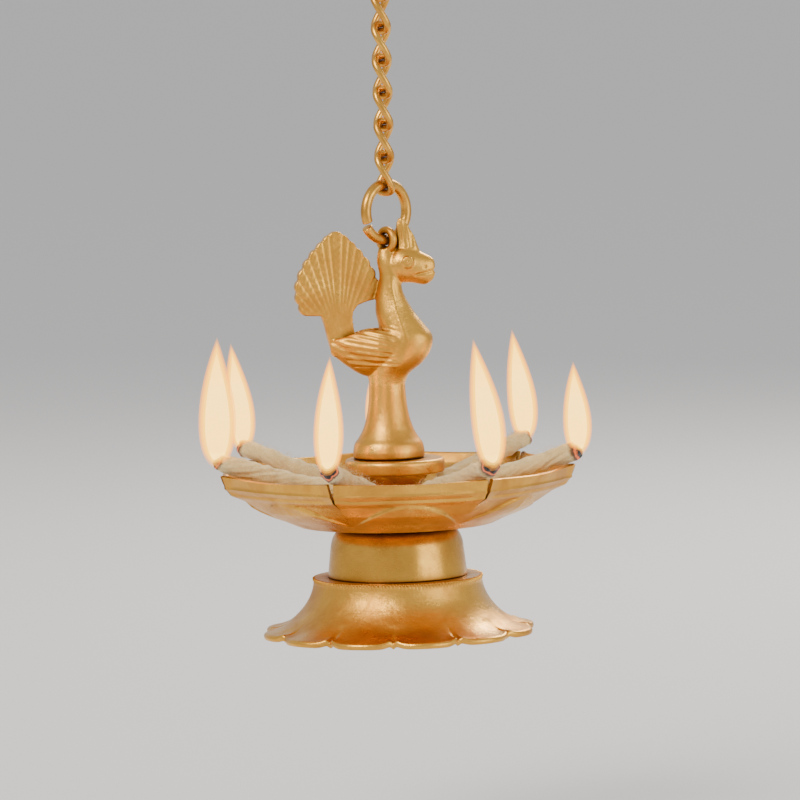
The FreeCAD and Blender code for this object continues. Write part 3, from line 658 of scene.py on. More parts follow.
def bird_relief(points, normals):
    """How far each point is raised along its normal: cut lines between the tail's feathers, a ridge
    down the neck, the closed beak, and rows of feathers on the wings."""
    x, y, z = points.T
    sideways = np.abs(normals[:, 1])

    # Fan: a cut from its root to each valley between scallops, and fine barbs across the feathers.
    c, s = math.cos(TAIL_TWIST), math.sin(TAIL_TWIST)
    across = c * (x - TAIL_ROOT) + s * y
    out = -s * (x - TAIL_ROOT) + c * y
    facing = np.abs(-s * normals[:, 0] + c * normals[:, 1])
    pivot = np.array(FAN_PIVOT)
    reach = np.hypot(across - pivot[0], z - pivot[1])
    lean = np.arctan2(across - pivot[0], z - pivot[1])
    valleys = fan_valleys() - pivot
    near = np.abs(lean[:, None] - np.arctan2(valleys[:, 0], valleys[:, 1])).min(1) * reach
    flat = (facing > 0.7) & (np.abs(out) < 2.2) & (z > 103) & (x < -2.2)
    fade = np.clip((reach - 9) / 10, 0, 1)
    barbs = np.cos((reach - 0.9 * np.cos(near * 1.6)) * 2 * np.pi / BARB_PITCH)
    rise = np.where(flat, -FEATHER_CUT * fade * hump(near, 0.4) + 0.03 * fade * barbs, 0.0)

    # Neck: a ridge down its front that wanders with the neck's curve.
    ridge = np.interp(z, (94, 98, 105, 112, 116), (5.2, 3.8, 1.7, 0.4, 0.4))
    on_neck = np.clip((z - 94) / 5, 0, 1) * np.clip((116 - z) / 4, 0, 1) * (x > -4)
    rise += NECK_RIDGE * on_neck * hump(x - ridge, 0.95) * (sideways > 0.3)

    # Head: the line of the closed beak, the nostrils, and the grooves of the crest.
    mouth = 115.9 + 0.22 * (x - 9.5)
    beak = np.clip((x - 7.6) / 1.2, 0, 1) * (z < 121)
    rise -= BEAK_CUT * beak * hump(z - mouth, 0.42)
    rise -= NOSTRIL_CUT * hump(np.hypot(x - 11.4, z - 118.3), 0.45) * (sideways > 0.4)
    crest = (z > 124.5) & (x > 1.0)
    rise += np.where(crest, 0.10 * np.cos((x - 5 + 0.10 * (z - 124)) * 2 * np.pi / 1.7), 0) * (facing > 0.3)

    # Wings: sloping rows of quills that draw together towards the tail, each row a little notched.
    wing = (sideways > 0.45) & (z > 86.5) & (z < 99.5) & (x < 3.5) & (x > -16.5) & (np.abs(y) > 3.2)
    rows = np.cos((z - 92.5 + 0.16 * (x + 6)) * 2 * np.pi / (1.75 - 0.03 * (x + 6)))
    tips = np.cos(x * 2 * np.pi / 3.4 + 0.5 * z)
    quills = np.clip((2.5 - x) / 3, 0, 1) * np.clip((x + 16.5) / 2, 0, 1)
    return rise + np.where(wing, QUILL_HEIGHT * rows * quills + 0.035 * tips * quills, 0)


r, z = np.vstack([PEDESTAL_HEM, smooth_through(PEDESTAL, 60)]).T[:, :, None]
bird_forms = [
    (round_axis(r, full_turn(72), z) + (PEDESTAL_X, 0, 0), False),
    (upright_form(BREAST), False),
    (upright_form(CREST), False),
    (lengthwise_form(BACK), False),
    (lengthwise_form(HEAD), False),
    (tail_grid(), False),
    (wing_grid(-1), False),
    (wing_grid(1), False),
    (torus_grid((HANG, 0, LUG_HEIGHT), RING_AXLE, LUG_RADIUS, LUG_WIRE), True),
]
for side in (-1, 1):
    bird_forms.append((torus_grid((EYE[0], side * EYE_RING[0], EYE[1]), (1, 0, 0), *EYE_RING[1:]), True))
    bird_forms.append((ball_grid((EYE[0], side * EYE_BALL[0], EYE[1]), EYE_BALL[1]), False))
cast = merged_cast("peacock", bird_forms)
cast_points, cast_normals = (point_values(cast.vertices, field) for field in ("co", "normal"))
cast_points += cast_normals * bird_relief(cast_points, cast_normals)[:, None]
cast.vertices.foreach_set("co", placed(cast_points).ravel())
cast.update()
peacock = finished("peacock_cast", cast, sharp=60.0)
# The third colour is dirt and painted shade, laid in the hollows of the castings and between parts.
CAST_BRASS = brass(
    "cast_brass", (0.86, 0.45, 0.065), (0.58, 0.26, 0.035), (0.14, 0.055, 0.012),
    smooth=0.22, rough=0.42, depth=0.00022, grain=1300.0, wave=1.0, patch=70.0,
)
peacock.data.materials.clear()
peacock.data.materials.append(CAST_BRASS)
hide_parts("peacock")
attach(peacock, "lamp")

# ---- Plinth disc ----
# A thick cast disc with a softened edge that sits on the riser and carries the bird.

PLINTH = (16.0, 52.3, 56.8)
BORE = 2.45


def eased(points, reach, steps=6):
    """A closed line of points with each corner replaced by a short curve that starts and ends at
    most the given reach from it."""
    points = np.asarray(points, float)
    sides = (np.roll(points, shift, 0) - points for shift in (1, -1))
    start, end = (
        points + unit(side) * np.minimum(reach, 0.45 * np.linalg.norm(side, axis=1))[:, None] for side in sides
    )
    t = np.linspace(0, 1, steps)[None, :, None]
    curve = (1 - t) ** 2 * start[:, None] + 2 * t * (1 - t) * points[:, None] + t**2 * end[:, None]
    return curve.reshape(-1, 2)


def lathe(name, outline, columns=144):
    """A closed outline of (radius, height) carried round the lamp's own upright axis."""
    r, z = np.asarray(outline).T[:, :, None]
    return skin(name, placed(round_axis(r, full_turn(columns), z)), loop=True)


radius, low, high = PLINTH
plinth_outline = eased([(BORE, low), (radius, low), (radius, high - 0.9), (radius - 0.6, high), (BORE, high)], 0.7)
plinth = lathe("plinth_disc_cast", plinth_outline)
plinth.data.materials.append(CAST_BRASS)
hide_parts("plinth_disc")
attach(plinth, "lamp")

# ---- Riser ----
# A turned brass spool inside the pan that lifts the disc clear of the oil.

RISER = [(BORE, 37.65), (13.0, 37.65), (13.0, 39.6), (9.6, 41.4), (8.2, 44.0), (8.0, 46.0), (8.5, 48.6),
         (10.5, 51.0), (10.5, 52.28), (BORE, 52.28)]
# The third colour is dirt and painted shade, laid in the hollows of the turned parts and between parts.
TURNED_BRASS = brass(
    "turned_brass", (0.82, 0.42, 0.06), (0.47, 0.21, 0.03), (0.13, 0.05, 0.012),
    smooth=0.16, rough=0.34, depth=0.00006, grain=2600.0, wave=0.8, patch=60.0,
)
riser = lathe("riser_turned", eased(RISER, 0.6))
riser.data.materials.append(TURNED_BRASS)
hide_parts("riser")
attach(riser, "lamp")

# ---- Oil pan ----
# A thin cast bowl of seven petals. Each corner is slit from the rim for a wick and its lips are
# bent out; a lotus petal stands in low relief under each side.

PETALS = 7
PAN_TURN = math.radians(-59.1)
PAN_OUT = [(36.0, 32.0, 32.0), (39.2, 39.2, 39.0), (42.4, 45.6, 44.9), (45.9, 51.0, 48.8), (47.6, 54.9, 52.6),
           (49.6, 56.0, 53.8), (53.6, 57.0, 55.0)]
PAN_IN = [(37.6, 30.6, 30.6), (40.6, 37.6, 37.3), (43.8, 44.0, 43.2), (47.2, 49.6, 47.4), (48.9, 53.2, 50.9),
          (50.2, 54.2, 52.0), (53.7, 55.2, 53.2)]
PAN_BOTTOM = 36.0
PAN_FLOOR = 37.6
FLOOR_RINGS_OUT = (2.5, 10.0, 20.0, 28.0, 31.0)
FLOOR_RINGS_IN = (29.6, 26.0, 18.0, 10.0, 2.5)
PAN_RIM = 53.6
SLIT_HALF = 1.0
SLIT_DEPTH = 8.7
SLIT_ROWS = 22
SLIT_FOOT = PAN_RIM - SLIT_DEPTH
LIP_OUT = 1.25
RIM_DIP = 0.5
RIM_LIFT = 0.25
ARCH_TOP = 46.4
ARCH_FALL = 5.2
ARCH_HALF = 13.5
SHELL_RELIEF = 1.35
SPINE_RELIEF = 0.3
GROOVE = (48.1, 0.75, 0.95)
CORD = (49.9, 0.45, 0.4)
EDGE_CROWDING = 0.92


def petal_radius(angle, corner, petal, count):
    """Distance to the arc through two corners and the middle of the petal between them, at an angle
    from that middle."""
    cosine = math.cos(math.pi / count)
    middle = (corner**2 - petal**2) / (2 * (corner * cosine - petal))
    bend = petal - middle
    return middle * np.cos(angle) + np.sqrt(np.maximum(bend**2 - (middle * np.sin(angle)) ** 2, 0))


def pan_wall(levels, rows, share):
    """Radius of the wall at given heights for each share (-1 to 1) of a petal."""
    height, corner, petal = np.array(levels).T
    radius = np.empty((len(rows), len(share)))
    for row, (far, near) in enumerate(zip(np.interp(rows, height, corner), np.interp(rows, height, petal))):
        radius[row] = far if far - near < 0.01 else petal_radius(share * math.pi / PETALS, far, near, PETALS)
    return radius


def ramp_up(values, start, end):
    """0 below start, 1 above end, and a smooth S between them."""
    t = np.clip((values - start) / (end - start), 0, 1)
    return t * t * (3 - 2 * t)


def petal_wall(levels, rows, share, outer):
    """Points (radius, angle, height) of one petal's wall. The slit is a V: its half width grows in
    proportion to the height above its foot. Its lips bend out, and the outer wall has its relief."""
    radius = pan_wall(levels, rows, share)
    angle = np.broadcast_to(share * math.pi / PETALS, radius.shape).copy()
    height = np.broadcast_to(rows[:, None], radius.shape).copy()
    gap = SLIT_HALF * np.clip((height - SLIT_FOOT) / SLIT_DEPTH, 0, 1)
    arc = angle * radius
    from_edge = math.pi / PETALS * radius - np.abs(arc)
    angle -= np.sign(arc) * (gap * np.exp(-from_edge / 2.2)) / radius
    up = ramp_up(height, SLIT_FOOT - 1, PAN_RIM)
    radius += LIP_OUT * up**1.6 * hump(from_edge, 0.8 + 2.4 * up)
    height -= RIM_DIP * ramp_up(height, 50.0, PAN_RIM) * np.cos(share * math.pi / 2) ** 2
    height += RIM_LIFT * ramp_up(height, 50.0, PAN_RIM) * hump(from_edge, 2.5)
    if outer:
        arch = ARCH_TOP - ARCH_FALL * (arc / ARCH_HALF) ** 2
        shell = ramp_up(arch - height, -0.7, 0.8) * ramp_up(height, 37.4, 41.5)
        spine = hump(arc, 0.8) * ramp_up(height, 38.0, 43.0) * ramp_up(arch - height, 0.2, 3.0)
        groove = hump(height - GROOVE[0], GROOVE[1]) * (1 - hump(from_edge, 3))
        radius += SHELL_RELIEF * shell + SPINE_RELIEF * spine - GROOVE[2] * groove
        radius += CORD[2] * hump(height - CORD[0], CORD[1])
    return np.stack([radius, angle, height], -1)


def pan_mesh():
    """One petal's skin, inside and outside, with its slit edges, then seven of them round the axis."""
    crowding = EDGE_CROWDING * math.pi / 2
    share = np.sin(np.linspace(-math.pi / 2, math.pi / 2, 97) * EDGE_CROWDING) / math.sin(crowding)
    slit = np.linspace(SLIT_FOOT, PAN_RIM, SLIT_ROWS)
    outside_rows = np.concatenate([np.linspace(PAN_BOTTOM, SLIT_FOOT, 34)[:-1], slit])
    inside_rows = np.concatenate([np.linspace(PAN_FLOOR, SLIT_FOOT, 22)[:-1], slit])
    outside = petal_wall(PAN_OUT, outside_rows, share, True)
    inside = petal_wall(PAN_IN, inside_rows, share, False)
    crown = np.stack(
        [
            outside[-1] * (1 - t) + inside[-1] * t + (0, 0, lift)
            for t, lift in ((0.12, 0.16), (0.3, 0.26), (0.5, 0.3), (0.7, 0.26), (0.88, 0.16))
        ]
    )
    floor_out, floor_in = (
        np.stack(np.broadcast_arrays(np.array(radii)[:, None], outside[0, :, 1], level), -1)
        for radii, level in ((FLOOR_RINGS_OUT, PAN_BOTTOM), (FLOOR_RINGS_IN, PAN_FLOOR))
    )
    loop = np.vstack([floor_out, outside, crown, inside[::-1], floor_in])
    rows, columns = loop.shape[:2]
    cell = np.arange(rows * columns).reshape(rows, columns)
    top = len(floor_out) + len(outside)
    out_rows = np.arange(top - SLIT_ROWS, top)
    in_rows = np.arange(top + len(crown), top + len(crown) + SLIT_ROWS)[::-1]
    crown_rows = np.arange(top - 1, top + len(crown) + 1)
    strips = [cells(np.vstack([cell, cell[:1]]))]
    strips += [cells(cell[np.stack([out_rows, in_rows]), column]) for column in (0, columns - 1)]
    r, a, z = loop.reshape(-1, 3).T
    points, faces, caps = [], [], []
    for petal in range(PETALS):
        points.append(round_axis(r, a + (PAN_TURN + (petal + 0.5) * 2 * math.pi / PETALS), z))
        base = petal * rows * columns
        faces += (np.vstack(strips) + base).tolist()
        caps += [(cell[crown_rows, column] + base).tolist() for column in (0, columns - 1)]
    mesh = bpy.data.meshes.new("oil_pan_cast")
    mesh.from_pydata(placed(np.vstack(points)), [], faces + caps)
    return mesh


pan = finished("oil_pan_cast", pan_mesh(), sharp=35.0, weld=2e-6)
pan.data.materials.append(CAST_BRASS)
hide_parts("oil_pan")
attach(pan, "lamp")

# ---- Drum of the foot ----
# A spun brass cup turned upside down; its lower lip drops into the skirt and the stud ties it to
# the pan above.


def bend_line(start, end, sag, count=24):
    """Points of a shallow arc from start to end whose middle stands off the straight line by sag."""
    t = np.linspace(0, 1, count)[:, None]
    start, end = np.asarray(start, float), np.asarray(end, float)
    way = end - start
    normal = np.array([-way[1], way[0]]) / np.linalg.norm(way)
    return start + t * way + 4 * sag * t * (1 - t) * normal


def drum_outline():
    """Outline of the cup: skirt, rounded shoulder and flat crown, with the same inside it."""
    outside = [(20.9, 17.2), (20.9, 18.82), (22.4, 18.82), (22.35, 19.9), (21.4, 28.6)]
    shoulder = bend_line((21.4, 28.6), (13.0, 36.0), -2.4)
    inside = bend_line((12.2, 34.4), (19.8, 28.6), 2.1)
    ends = [(2.5, 35.97), (2.5, 34.4)]
    return np.vstack([outside, shoulder[1:], ends, inside, [(19.3, 17.2)]])


drum = lathe("base_drum_spun", eased(drum_outline(), 0.45, 4), 180)
drum.data.materials.append(TURNED_BRASS)
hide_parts("base_drum")
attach(drum, "lamp")

# ---- Skirt of the foot ----
# A cast bell skirt. Its flange is cut to twelve lobes with a rolled lip and a crease at each cusp,
# and a milled bead runs round the edge of the step that the drum sits on.

LOBES = 12
BEADS = 144
SKIRT_COLUMNS = 1008
SKIRT_TURN = math.radians(-92.7)
CUSP = 41.0
LOBE = 44.2
FLANGE_ROOT = 33.0
FLANGE_EDGE = 44.6
STEP_EDGE = (27.15, 18.35)
BEAD_OUT = 0.34
BEAD_UP = 0.22
CUSP_LIFT = 1.1
CREASE_DEPTH = 0.9
LOBE_DROOP = 0.25


def skirt_grid():
    """The bell's outline carried round the axis. Its flange is scaled to a ring of twelve arcs, its
    lobes droop, and its step has a wave of 144 beads."""
    turn = full_turn(SKIRT_COLUMNS)
    pitch = 2 * math.pi / LOBES
    share = (turn - SKIRT_TURN) % pitch - pitch / 2
    reach = petal_radius(share, CUSP, LOBE, LOBES)
    top = np.stack([np.linspace(21.0, 26.6, 6), np.full(6, 18.8)], -1)
    edge = np.array([(26.9, 18.78), (27.12, 18.66), (27.2, 18.45), (27.22, 18.1), (27.2, 17.7)])
    wall = bend_line((27.15, 17.2), (29.4, 11.0), -0.35, 10)
    flare = bend_line((29.4, 11.0), (43.6, 2.1), -2.0, 24)
    lip = np.array([(44.1, 1.95), (44.45, 1.6), (44.6, 1.05), (44.5, 0.5), (44.2, 0.12), (43.6, 0.0), (42.9, 0.12),
                    (42.3, 0.5)])
    under = bend_line((41.6, 0.95), (28.0, 10.0), 2.0, 14)
    inside = bend_line((27.8, 10.6), (25.7, 17.1), 0.35, 6)
    close = np.array([(25.4, 17.3), (21.0, 17.3)])
    outline = np.vstack([top, edge, wall, flare, lip, under, inside, close])
    r, z = outline.T[:, :, None]
    flange = FLANGE_EDGE - FLANGE_ROOT
    outer = np.clip((r - FLANGE_ROOT) / flange, 0, 1.1)
    radius = np.where(r > FLANGE_ROOT, FLANGE_ROOT + (r - FLANGE_ROOT) * (reach - FLANGE_ROOT) / flange, r)
    from_cusp = (pitch / 2 - np.abs(share)) * CUSP
    height = z + CUSP_LIFT * hump(from_cusp, 2.6) * outer**2
    height = height - CREASE_DEPTH * hump(from_cusp, 0.75) * ramp_up(outer, 0.3, 0.8)
    height = height + LOBE_DROOP * np.cos(share * LOBES) * ramp_up(outer, 0.2, 0.9) * (1 - outer) * 2
    bead = np.cos(turn * BEADS)
    rim = hump(r - STEP_EDGE[0], 0.35) * hump(z - STEP_EDGE[1], 0.5)
    return round_axis(radius + BEAD_OUT * bead * rim, turn, height + BEAD_UP * bead * rim)


skirt = skin("base_skirt_cast", placed(skirt_grid()), loop=True)
skirt.data.materials.append(CAST_BRASS)
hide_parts("base_skirt")
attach(skirt, "lamp")

# ---- Stud, washer and nut ----
# A 4.8 mm threaded brass stud pulls the foot, the pan and the disc together from below, with a
# plain washer and a hexagon nut inside the foot.

STUD = (2.38, 27.0, 67.0)
STUD_PITCH = 0.8
THREAD_DEPTH = 0.30
STUD_CHAMFER = 0.5
NUT_FLAT = 4.0
NUT = [(2.6, 29.25), (3.0, 29.2), (3.9, 29.2), (4.2, 29.35), (4.5, 29.6), (4.62, 29.9), (4.62, 32.5), (4.5, 32.8),
       (4.2, 33.05), (3.9, 33.2), (3.0, 33.2), (2.6, 33.15)]
WASHER = [(2.6, 33.22), (6.0, 33.22), (6.0, 34.4), (2.6, 34.4)]


def stud_grid():
    """A rod whose radius follows a triangle wave along a helix, one turn of it to each pitch."""
    radius, low, high = STUD
    z = np.linspace(low, high, 400)[:, None]
    turn = full_turn(32)
    phase = (z / STUD_PITCH - turn / (2 * np.pi)) % 1
    tooth = np.abs(2 * phase - 1)
    end = np.clip(np.minimum(z - low, high - z) / 0.8, 0, 1)
    return round_axis(radius - THREAD_DEPTH * tooth - STUD_CHAMFER * (1 - end), turn, z)


def nut_grid():
    """A hexagon whose corners are turned off to a cone at both faces, with a round hole."""
    turn = full_turn(96)
    flat = NUT_FLAT / np.cos((turn + math.pi / 6) % (math.pi / 3) - math.pi / 6)
    r, z = np.array(NUT).T[:, :, None]
    return round_axis(np.minimum(r, flat), turn, z)


stud = skin("tie_stud_threaded", placed(stud_grid()))
washer = lathe("washer_plain", eased(WASHER, 0.25), 96)
nut = skin("hex_nut_cut", placed(nut_grid()), loop=True)
for piece, node in ((stud, "tie_stud"), (washer, "washer"), (nut, "hex_nut")):
    piece.data.materials.append(TURNED_BRASS)
    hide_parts(node)
    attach(piece, "lamp")

# ---- Lamp oil ----
# A shallow pool of yellow lamp oil in the bottom of the pan. It creeps a little way up the wall.

OIL_LEVEL = 44.6
OIL_ROWS = 40
RISER_SHORE = 8.3
OIL_BED = [(40.6, 42.0), (36.5, 40.2), (30.4, 37.75), (20.0, 37.75), (13.2, 37.75), (13.2, 39.4), (9.6, 41.5),
           (8.3, 43.8)]


def oil_grid():
    """The pool's skin: a level top that curves up at both shores, and a bottom on the pan's floor."""
    turn = full_turn(280)
    share = ((turn - PAN_TURN) * PETALS / (2 * math.pi) % 1) * 2 - 1
    heights, corners, petals = np.array(PAN_IN).T
    corner, petal = np.interp(OIL_LEVEL, heights, corners), np.interp(OIL_LEVEL, heights, petals)
    shore = petal_radius(share * math.pi / PETALS, corner, petal, PETALS)
    step = np.linspace(0, 1, OIL_ROWS)[:, None]
    top = RISER_SHORE + step * (shore + 0.1 - RISER_SHORE)
    creep = 0.28 * np.exp(-(shore - top) / 0.7) + 0.22 * np.exp(-(step * OIL_ROWS) / 0.9)
    r, z = np.array(OIL_BED).T[:, :, None]
    bed = np.where(r > 31, r * (shore / shore.max()), r)
    return np.vstack([round_axis(top, turn, OIL_LEVEL + creep), round_axis(bed, turn, z)])


oil = skin("oil_pool", placed(oil_grid()), loop=True)
OIL, tree, shader = new_material("lamp_oil")
fill(tree, shader, Base_Color=(0.52, 0.25, 0.025), Roughness=0.04, IOR=1.47, Alpha=0.6)
oil.data.materials.append(OIL)
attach(oil, "lamp")

# ---- Wicks ----
# Seven hand-rolled wicks of combed cotton, soaked with oil. Each lies in a slit with its end just
# over the rim; that end is charred, and loose fibres stand off the roll.

WICK_REACH = 60.5
WICK_LENGTH = 42.0
WICK_RADIUS = 3.3
WICK_SLOPE = math.radians(16.0)
WICK_REST = (57.0, 58.1)
WICK_SKIN = WICK_RADIUS - 0.42
WICK_HAIRS = 340
HAIR_POINTS = 9
HAIR_RADIUS = 0.045
CHAR = [5.5, 5.0, 3.0, 3.5, 3.5, 2.6, 3.0]


def wick_frame(index):
    """The outer end of a wick and its axis inwards, sideways and upwards."""
    heading = PAN_TURN + 2 * math.pi / PETALS * index
    out = np.array([math.cos(heading), math.sin(heading), 0.0])
    along = -(math.cos(WICK_SLOPE) * out + np.array([0, 0, math.sin(WICK_SLOPE)]))
    end = WICK_REACH * out + (0, 0, WICK_REST[1] + (WICK_REACH - WICK_REST[0]) * math.tan(WICK_SLOPE))
    side = np.array([-math.sin(heading), math.cos(heading), 0.0])
    return end, along, side, np.cross(side, along)


def wick_roll(index, rng):
    """Radius of a loose roll: an overlap that winds round it, soft lumps, and a teased outer end."""
    late = WICK_LENGTH - 3
    ends = np.linspace(0, 3, 30)[:-1], np.linspace(late, WICK_LENGTH, 30)[1:]
    s = np.concatenate([ends[0], np.linspace(3, late, 72), ends[1]])
    grid_s, grid_turn = np.meshgrid(s, full_turn(56), indexing="ij")
    wind = grid_turn - grid_s * 0.13 * (1 if index % 2 else -1) + index
    seam = -0.34 * hump((wind % (2 * np.pi)) - np.pi, 0.22)
    strands = 0.07 * np.cos(9 * wind + 0.8 * np.sin(grid_s * 0.7)) + 0.05 * np.cos(17 * wind + grid_s * 0.9)
    lumps = np.zeros_like(grid_s)
    for wave in range(1, 9):
        for around in range(0, 4):
            size = 0.16 / (wave + around) ** 0.8
            lumps += size * np.cos(wave * 0.21 * grid_s + around * grid_turn + rng.uniform(0, 2 * np.pi))
    end = np.minimum(grid_s / 2.2, (WICK_LENGTH - grid_s) / 1.6)
    dome = np.sqrt(np.clip(1 - (1 - np.clip(end, 0.02, 1)) ** 2, 0, 1))
    radius = (WICK_SKIN + seam + strands + lumps) * (0.12 + 0.88 * dome)
    tip = np.exp(-grid_s / 3.0)
    radius += tip * dome * 0.45 * np.cos(5 * grid_turn + 2.0 * rng.uniform(0, 1))
    start, along, side, up = wick_frame(index)
    sag = -0.5 * np.sin(np.pi * grid_s / WICK_LENGTH)
    away = np.cos(grid_turn)[..., None] * side + np.sin(grid_turn)[..., None] * up
    return start + grid_s[..., None] * along + radius[..., None] * away + sag[..., None] * up


def wick_fibres(index, rng, count):
    """Fine curved hairs that leave the roll's surface: three-sided tubes of eight steps each."""
    start, along, side, up = wick_frame(index)
    s = rng.uniform(0.6, WICK_LENGTH - 1.0, count)
    turn = rng.uniform(-0.5, math.pi + 0.5, count)
    out = np.cos(turn)[:, None] * side + np.sin(turn)[:, None] * up
    drift = along * rng.normal(0, 1, (count, 1)) + np.cross(along, out) * rng.normal(0, 0.8, (count, 1))
    reach = rng.uniform(0.8, 3.0, (count, 1))
    t = np.linspace(0, 1, HAIR_POINTS)[None, :, None]
    base = start + s[:, None] * along + out * (WICK_RADIUS - 0.45)
    curl = rng.normal(0, 0.35, (count, 1, 3)) * np.sin(np.pi * 1.3 * t)
    path = base[:, None] + reach[:, None] * (t * (0.55 * out + 0.75 * drift)[:, None] + t**2 * curl)
    angle = np.arange(3) * 2 * np.pi / 3
    spoke = np.cos(angle)[:, None] * side + np.sin(angle)[:, None] * up
    thin = HAIR_RADIUS * (1 - 0.7 * t[..., None])
    points = path[:, :, None] + thin * spoke
    cell = np.arange(count * HAIR_POINTS * 3).reshape(-1, HAIR_POINTS, 3)
    after = np.roll(cell, -1, 2)
    faces = np.stack([cell[:, :-1], cell[:, 1:], after[:, 1:], after[:, :-1]], -1).reshape(-1, 4)
    ends = np.concatenate([cell[:, 0], cell[:, -1, ::-1]])
    return points.reshape(-1, 3), faces, ends


def read_field(tree, field):
    """The numbers of an attribute of the piece."""
    return add_node(tree, "Attribute", {"attribute_name": field}).outputs["Fac"]


def cotton():
    """Combed cotton: cream where it is dry or oiled, brown and then black towards the burnt end,
    which is kept in the attribute burnt. The edge of the char still glows."""
    material, tree, shader = new_material("cotton_wick")
    spot = add_node(tree, "TexCoord").outputs["Object"]
    mottle = add_node(tree, "TexNoise", Vector=spot, Scale=420.0, Detail=5.0, Roughness=0.65).outputs["Fac"]
    fluff = add_node(tree, "TexNoise", Vector=spot, Scale=2600.0, Detail=4.0, Roughness=0.7, Distortion=1.2)
    burnt = read_field(tree, "burnt")
    ragged = math_node(tree, "MULTIPLY", math_node(tree, "SUBTRACT", mottle, 0.5), 0.55)
    edge = math_node(tree, "ADD", burnt, ragged)
    cream = ramp(tree, fluff.outputs["Fac"], [(0.3, (0.66, 0.44, 0.15)), (0.7, (0.94, 0.78, 0.40))])
    char = ramp(tree, edge, [(0.30, 0.0), (0.62, 1.0)])
    scorch = ramp(tree, edge, [(0.12, 0.0), (0.42, 1.0)])
    browned = mix_colour(tree, scorch, cream, (0.26, 0.12, 0.035))
    relief = add_node(tree, "Bump", Strength=0.9, Distance=0.00035, Height=fluff.outputs["Fac"])
    fill(
        tree,
        shader,
        Base_Color=mix_colour(tree, char, browned, (0.012, 0.010, 0.009)),
        Roughness=0.85,
        Normal=relief.outputs["Normal"],
        Sheen_Weight=0.35,
        Sheen_Roughness=0.5,
        Emission_Color=ramp(tree, edge, [(0.50, 0.0), (0.60, (1.0, 0.16, 0.02)), (0.72, 0.0)]),
        Emission_Strength=1.6,
    )
    return material


def mark(piece, field, values):
    """Gives each point of a piece its number in an attribute that its material reads."""
    piece.data.attributes.new(field, "FLOAT", "POINT").data.foreach_set("value", values)


COTTON = cotton()
for index in range(PETALS):
    rng = np.random.default_rng(40 + index)
    roll = skin(f"wick_{index + 1}_roll", placed(wick_roll(index, rng)))
    hair_points, hair_faces, hair_ends = wick_fibres(index, rng, WICK_HAIRS)
    hairs = bpy.data.meshes.new("hairs")
    hairs.from_pydata(placed(hair_points), [], hair_faces.tolist() + hair_ends.tolist())
    roll = joined([roll, finished("hairs", hairs, sharp=180.0)])
    start, along = wick_frame(index)[:2]
    depth = (point_values(roll.data.vertices, "co") / MM - (0, 0, FOOT) - start) @ along
    mark(roll, "burnt", np.clip(1 - depth / CHAR[index], 0, 1))
    roll.data.materials.append(COTTON)
    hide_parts(f"wick_{index + 1}")
    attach(roll, f"wick_{index + 1}")

# ---- Flames ----
# A steady oil flame on every wick: a dim foot, a yellow-white heart and an orange skin. It is made
# of shells one inside another, so that its edge is softer than its middle.

FLAMES = [
    (42.0, 7.6, -5.0, -1.0),
    (30.5, 6.6, -1.0, 0.0),
    (37.5, 7.0, -3.5, 0.5),
    (28.0, 6.2, 0.5, 0.0),
    (36.0, 6.8, -3.0, 0.0),
    (42.0, 8.6, 1.0, 0.0),
    (38.0, 6.8, 1.5, 0.5),
]
SHELLS = [(1.0, 0.3), (0.9, 0.45), (0.79, 0.7), (0.66, 1.0)]
DROP_WIDEST = 0.4435
FLAME_FULLNESS = 0.86
FLAME_MIDDLE = 0.30
FLAME_FOOT = (1.2, -2.2)
FLICKER = 0.6
FLAME_FIELDS = ("height", "cover")


def flame_grid(height, width, lean, depth_lean, share, rows, sides):
    """A drop: its radius goes as t^0.55 (1-t)^1.05, and its axis bends over as t^1.6."""
    t = (1 - np.cos(np.linspace(0.08, np.pi - 0.02, rows))) / 2
    turn = full_turn(sides)
    radius = width * share * t**0.55 * (1 - t) ** 1.05 / DROP_WIDEST * FLAME_FULLNESS
    rise = height * (FLAME_MIDDLE + (t - FLAME_MIDDLE) * (0.50 + 0.50 * share))
    bend = np.clip(rise / height, 0, 1)
    x = lean * bend**1.6 + FLICKER * np.sin(5 * bend) * (1 - bend) * bend
    axis = np.stack([x, depth_lean * bend**1.6, rise], -1)
    return axis[:, None] + round_axis(radius[:, None], turn, 0.0), bend


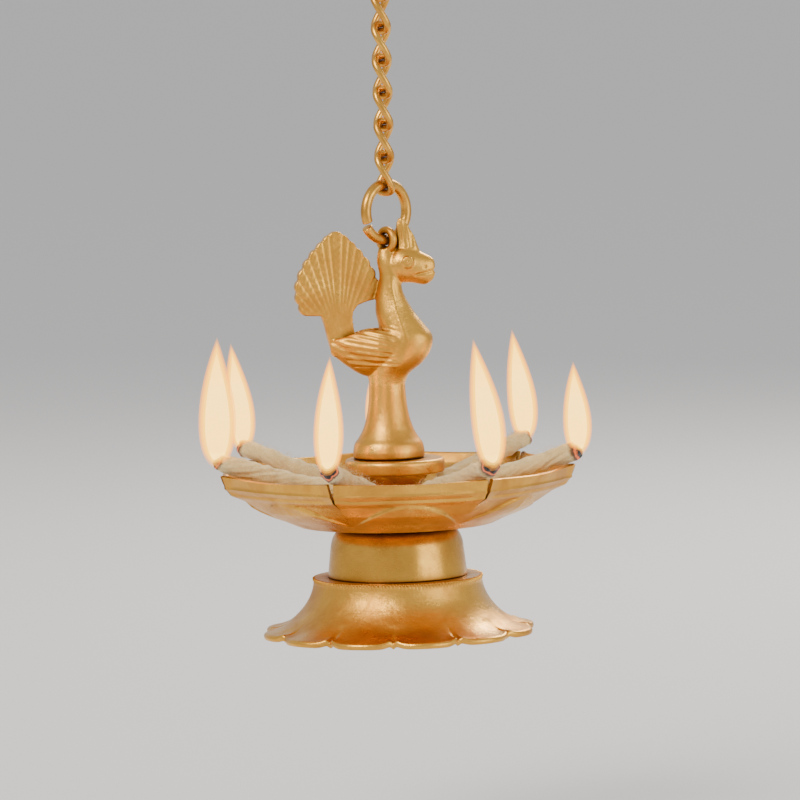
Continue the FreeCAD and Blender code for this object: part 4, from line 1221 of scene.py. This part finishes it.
def flame_material(name, guide, stops, power):
    """Glowing gas: its colour follows the guide attribute, and the attribute cover lays it over
    clear space, less so at the foot and the tip."""
    material, tree, shader = new_material(name)
    tree.nodes.remove(shader)
    height, cover = (read_field(tree, field) for field in FLAME_FIELDS)
    colour = ramp(tree, height if guide == "height" else cover, stops)
    fade = ramp(tree, height, [(0.0, 0.15), (0.14, 1.0), (0.9, 1.0), (1.0, 0.25)])
    mix = add_node(tree, "MixShader")
    feed(tree, mix.inputs[0], math_node(tree, "MULTIPLY", cover, fade))
    feed(tree, mix.inputs[1], add_node(tree, "BsdfTransparent").outputs[0])
    feed(tree, mix.inputs[2], add_node(tree, "Emission", Color=colour, Strength=power).outputs[0])
    fill(tree, tree.nodes["Material Output"], Surface=mix.outputs[0])
    return material


FLAME_SKIN = flame_material(
    "flame_skin",
    "cover",
    [(0.3, (1.0, 0.32, 0.008)), (0.45, (1.0, 0.46, 0.016)), (0.7, (1.0, 0.66, 0.05))],
    4.2,
)
FLAME_SKIN.cycles.emission_sampling = "NONE"
FLAME_HEART = flame_material(
    "flame_heart",
    "height",
    [(0.0, (0.9, 0.45, 0.06)), (0.15, (1.0, 0.84, 0.26)), (0.6, (1.0, 0.88, 0.34)), (1.0, (1.0, 0.62, 0.06))],
    12.0,
)
for index, (height, width, lean, depth_lean) in enumerate(FLAMES):
    start, along = wick_frame(index)[:2]
    foot = start + FLAME_FOOT[0] * along + (0, 0, FLAME_FOOT[1])
    shells = []
    for share, cover in SHELLS:
        heart = cover == 1.0
        rows, sides = (26, 18) if heart else (44, 32)
        grid, bend = flame_grid(height, width, lean, depth_lean, share, rows, sides)
        shell = skin(f"flame_{index + 1}", placed(grid + foot))
        tall = np.concatenate([np.repeat(bend, sides), bend[[0, -1]]])
        for field, values in zip(FLAME_FIELDS, (tall, np.full(len(tall), cover))):
            mark(shell, field, values)
        shell.data.materials.append(FLAME_HEART if heart else FLAME_SKIN)
        shells.append(shell)
    flame = joined(shells)
    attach(flame, f"wick_{index + 1}")
